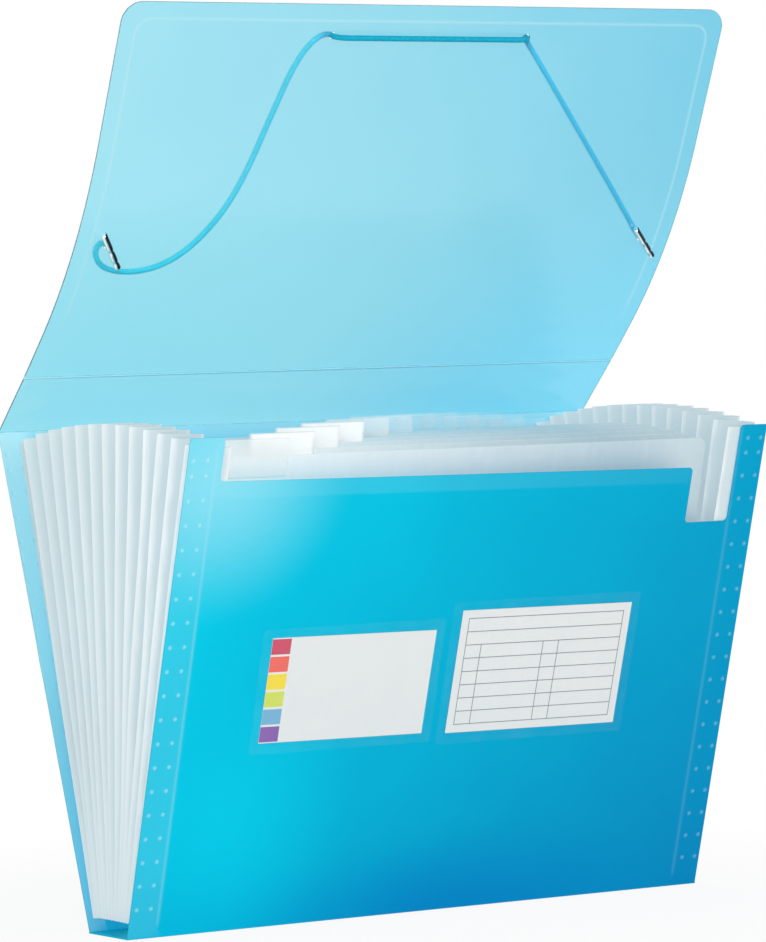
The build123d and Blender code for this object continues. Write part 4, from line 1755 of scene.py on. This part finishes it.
@dataclass
class Elastic:
    """The elastic cord through the flap's four holes, and the crimped barbs on its ends."""

    cover: Cover
    diameter: float = 2.6
    gap: float = 0.5
    stop: float = 0.1
    top_lift: float = 1.4
    tie_lift: float = 2.8
    taut_lift: float = 0.2
    slack_across_shares: tuple[float, ...] = (
        -0.035, 0.0, 0.085, 0.212, 0.348, 0.462, 0.558, 0.632, 0.69, 0.736, 0.781, 0.82, 0.872, 0.934,
    )
    slack_up_shares: tuple[float, ...] = (
        -0.05, -0.115, -0.15, -0.158, -0.125, -0.047, 0.072, 0.208, 0.373, 0.54, 0.69, 0.818, 0.918, 0.98,
    )
    slack_lifts: tuple[float, ...] = (2.4, 0.6, 0.1, 0, 0, 0, 0, 0, 0, 0, 0, 0, 0.3, 0.8)
    straight_start: float = 16.0
    length: float = 0.446
    curve_steps: int = 10
    round_steps: int = 3
    barb_length: float = 22.0
    barb_radius: float = 1.5
    barb_waist: float = 1.1
    barb_end: float = 0.72
    barb_steps: int = 45
    barb_facets: int = 24
    barb_gap: float = 0.05
    barb_slip: float = 2.5
    barb_turns: Pair = (-55.0, -45.0)
    crimps: Pair = (0.0, 7.2)
    crimp_width: float = 0.9

    def route(self) -> np.ndarray:
        """The cord's points: slack up the left, inside across the top, taut down the right.

        Returns:
            Points in millimetres, three to a row.
        """
        cover = self.cover
        lie = cover.sheet / 2 + self.gap + self.diameter / 2
        tail = -(cover.sheet / 2 + self.stop)
        (top_x, top_drop), (tie_x, tie_drop) = cover.top_hole, cover.tie_hole
        top_run, tie_run = cover.flap_length - top_drop, cover.flap_length - tie_drop
        high = lie + self.top_lift
        rows = [(-tie_x, tie_run, tail), (-tie_x, tie_run, lie + self.tie_lift)]
        rows += [
            (across * (tie_x - top_x) - tie_x, tie_run + up * (top_run - tie_run), lie + lift)
            for across, up, lift in zip(self.slack_across_shares, self.slack_up_shares, self.slack_lifts)
        ]
        near = self.straight_start / math.hypot(tie_x - top_x, top_run - tie_run)
        rows += [(-top_x, top_run, high), (-top_x, top_run, -high)]
        inner_x = top_x - self.straight_start
        rows += [(-inner_x, top_run, -high), (inner_x, top_run, -high)]
        rows += [(top_x, top_run, -high), (top_x, top_run, high)]
        rows += [
            (top_x + share * (tie_x - top_x), top_run + share * (tie_run - top_run), lie + self.taut_lift)
            for share in (near, 1 - near)
        ]
        rows += [(tie_x, tie_run, lie + self.tie_lift), (tie_x, tie_run, tail)]
        x, run, stand = np.array(rows).T
        return cover.put_flap(x, run, stand)

    def build(self, braid: Material, metal: Material) -> None:
        """Makes the cord as one smooth curve, and its barbs.

        Args:
            braid: Finish of the cord.
            metal: Finish of the barbs.
        """
        points = self.route() * MM
        curve = bpy.data.curves.new("elastic_cord_braid", "CURVE")
        curve.dimensions = "3D"
        curve.resolution_u = self.curve_steps
        curve.bevel_depth = self.diameter / 2 * MM
        curve.bevel_resolution = self.round_steps
        curve.use_fill_caps = True
        spline = curve.splines.new("NURBS")
        spline.points.add(len(points) - 1)
        spline.points.foreach_set("co", np.hstack((points, np.ones((len(points), 1)))).ravel())
        spline.order_u = 3
        spline.use_endpoint_u = True
        curve.materials.append(braid)
        cord = bpy.data.objects.new("elastic_cord_braid", curve)
        bpy.context.scene.collection.objects.link(cord)
        LOG.info("elastic_cord_braid: %d control points", len(points))
        stand_for(cord, "flap", "cord_blue", "elastic_cord")
        barbs = [self.add_barb(side, metal) for side in Side]

    def add_barb(self, side: Side, finish: Material) -> bpy.types.Object:
        """Makes one barb: a rolled tube whose radius is pinched at its crimps and rounded off at its ends.

        Args:
            side: The folder's side.
            finish: Its metal.

        Returns:
            The barb.
        """
        cover = self.cover
        reach, drop = cover.tie_hole
        stand = -(cover.sheet / 2 + self.stop) - self.barb_gap - self.barb_radius
        turn = math.radians(self.barb_turns[side is Side.RIGHT])
        half, pinch = self.barb_length / 2, self.barb_radius - self.barb_waist
        steps = np.linspace(-half, half, self.barb_steps)
        along = np.unique(np.concatenate((steps, (-half + pinch, half - pinch))))
        crimped = sum(np.exp(-(((along - crimp) / self.crimp_width) ** 2)) for crimp in self.crimps)
        whole = np.sqrt(np.clip((half - np.abs(along)) / pinch, 0, 1))
        radius = self.barb_radius - pinch * np.clip(crimped, 0, 1)
        radius = (radius * (self.barb_end + (1 - self.barb_end) * whole))[:, None]
        angle = ring_angles(self.barb_facets)[None, :]
        slide = (along + self.barb_slip)[:, None]
        wide = radius * np.cos(angle)
        x = side.value * reach + slide * math.cos(turn) - wide * math.sin(turn)
        run = cover.flap_length - drop + slide * math.sin(turn) + wide * math.cos(turn)
        rings = cover.put_flap(x, run, stand + radius * np.sin(angle))
        piece = add_piece(f"{side.word}_barb_metal", *carried_profile(rings), finish)
        return stand_for(piece, "flap", "barb_metal", f"{side.word}_barb")


@dataclass(frozen=True)
class Lamp:
    """A soft square lamp: its place and side in millimetres and its power in watts."""

    name: str
    spot: Spot
    size: float
    watts: float


@dataclass
class Studio:
    """White floor and backdrop, soft light, and the camera at the photograph's angle."""

    image: tuple[int, int] = (766, 942)
    focal_px: float = 5084.7
    sensor_mm: float = 36.0
    spot: Spot = (-1294.2, -1985.2, 295.6)
    yaw_deg: float = 32.982
    pitch_deg: float = 2.201
    roll_deg: float = 1.122
    view_depth: float = 100000.0
    ambient: float = 0.55
    floor_half: float = 30000.0
    floor_tone: str = "#F3F3F3"
    shadow_reach: Pair = (150.0, 420.0)
    shadow_white: float = 0.9
    target: Spot = (0.0, 0.0, 200.0)
    lamps: tuple[Lamp, ...] = (
        Lamp("key", (-1500.0, -2000.0, 800.0), 1500.0, 30.0),
        Lamp("fill", (1500.0, -1700.0, 700.0), 1500.0, 11.0),
    )

    def backdrop_share(self, tree: Tree) -> Socket:
        """Tells the rays that show the backdrop: from the camera, by gloss or through a clear piece.

        Args:
            tree: The nodes of the floor or the world.

        Returns:
            1 for those rays, 0 for the others.
        """
        path = add_node(tree, "LightPath").outputs
        shown = add_node(tree, "Math", LARGER, i0=path["Is Camera Ray"], i1=path["Is Glossy Ray"]).outputs[0]
        return add_node(tree, "Math", LARGER, i0=shown, i1=path["Is Transmission Ray"]).outputs[0]

    def build_world(self) -> None:
        """Lights the scene evenly from all round, in front of a white backdrop."""
        world = bpy.data.worlds.new("studio")
        world.use_nodes = True
        tree = world.node_tree
        tree.nodes.clear()
        shown = self.backdrop_share(tree)
        strength = add_node(tree, "MapRange", Value=shown, To_Min=self.ambient, To_Max=1.0)
        light = add_node(tree, "Background", Color=linear(WHITE), Strength=strength.outputs[0])
        add_node(tree, "OutputWorld", Surface=light.outputs[0])
        bpy.context.scene.world = world

    def floor_paper(self) -> Material:
        """Builds the floor's paper, which is plain white but for a faint shadow round the folder.

        Returns:
            The new material.
        """
        material = bpy.data.materials.new("floor_paper")
        material.use_nodes = True
        tree = material.node_tree
        tree.nodes.clear()
        matte = add_node(tree, "BsdfDiffuse", Color=linear(self.floor_tone))
        white = add_node(tree, "Emission", Color=linear(WHITE), Strength=1.0)
        where = add_node(tree, "TexCoord").outputs["Object"]
        reach = add_node(tree, "VectorMath", {"operation": "LENGTH"}, i0=where).outputs["Value"]
        near, far = (length * MM for length in self.shadow_reach)
        plain = add_node(tree, "MapRange", EASED, Value=reach, From_Min=near, From_Max=far)
        feed(plain, To_Min=self.shadow_white, To_Max=1.0)
        shown = self.backdrop_share(tree)
        share = add_node(tree, "Math", {"operation": "MULTIPLY"}, i0=shown, i1=plain.outputs[0])
        mixed = add_node(tree, "MixShader", i0=share.outputs[0], i1=matte.outputs[0], i2=white.outputs[0])
        add_node(tree, "OutputMaterial", Surface=mixed.outputs[0])
        return material

    def build_floor(self) -> None:
        """Lays a pale floor that meets the backdrop unseen."""
        half = self.floor_half * MM
        corners = [(-half, -half, 0), (half, -half, 0), (half, half, 0), (-half, half, 0)]
        mesh = bpy.data.meshes.new("floor")
        mesh.from_pydata(corners, [], [(0, 1, 2, 3)])
        mesh.materials.append(self.floor_paper())
        floor = bpy.data.objects.new("floor", mesh)
        bpy.context.scene.collection.objects.link(floor)

    def add_light(self, lamp: Lamp) -> None:
        """Adds one lamp that faces the folder.

        Args:
            lamp: The lamp.
        """
        light = bpy.data.lights.new(lamp.name, "AREA")
        light.size, light.energy = lamp.size * MM, lamp.watts
        piece = bpy.data.objects.new(lamp.name, light)
        piece.location = Vector(lamp.spot) * MM
        piece.rotation_euler = (Vector(self.target) - Vector(lamp.spot)).to_track_quat("-Z", "Y").to_euler()
        bpy.context.scene.collection.objects.link(piece)

    def build_camera(self) -> None:
        """Sets the camera where the photograph was taken from."""
        yaw, pitch, roll = (math.radians(a) for a in (self.yaw_deg, self.pitch_deg, self.roll_deg))
        ahead = Vector((math.sin(yaw) * math.cos(pitch), math.cos(yaw) * math.cos(pitch), -math.sin(pitch)))
        level = Vector((math.cos(yaw), -math.sin(yaw), 0))
        down = ahead.cross(level)
        right = level * math.cos(roll) + down * math.sin(roll)
        below = down * math.cos(roll) - level * math.sin(roll)
        turn = Matrix((right, -below, -ahead)).transposed().to_4x4()
        data = bpy.data.cameras.new("camera")
        data.sensor_fit = "HORIZONTAL"
        data.sensor_width = self.sensor_mm
        data.lens = self.focal_px * self.sensor_mm / self.image[0]
        data.clip_end = self.view_depth * MM
        camera = bpy.data.objects.new("camera", data)
        camera.matrix_world = Matrix.Translation(Vector(self.spot) * MM) @ turn
        bpy.context.scene.collection.objects.link(camera)
        bpy.context.scene.camera = camera

    def build(self) -> None:
        """Sets up backdrop, lamps and camera."""
        bpy.context.scene.view_settings.view_transform = "Standard"
        self.build_world()
        self.build_floor()
        for lamp in self.lamps:
            self.add_light(lamp)
        self.build_camera()


def main() -> None:
    """Builds the folder around its frame and sets up the picture."""
    logging.basicConfig(level=logging.INFO, format="%(name)s: %(message)s")
    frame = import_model()
    hinges = [joint for joint in frame["joints"] if "pos_m" in joint]
    creases = {joint["child"]: np.array(joint["pos_m"][1:]) / MM for joint in hinges}
    fan = Fan.from_frame(frame)
    cover = Cover(fan, creases["top_strip"], creases["flap"])
    Elastic(cover).build(CORD_BRAID.make(), BARB_STEEL.make())
    cover.build(FRONT_BLUE.make(), BACK_BLUE.make(), FLAP_BLUE.make(), CREASE_BLUE.make())
    Gussets(fan).build(PLEAT_MILKY.make())
    Dividers(fan).build(DIVIDER_MILKY.make(), TAB_FILM.make(), SLIP_PAPER.make())
    Cards(fan).build(CARD_PAPER.make(), SLEEVE_FILM.make())
    Studio().build()


if __name__ == "__main__":
    main()
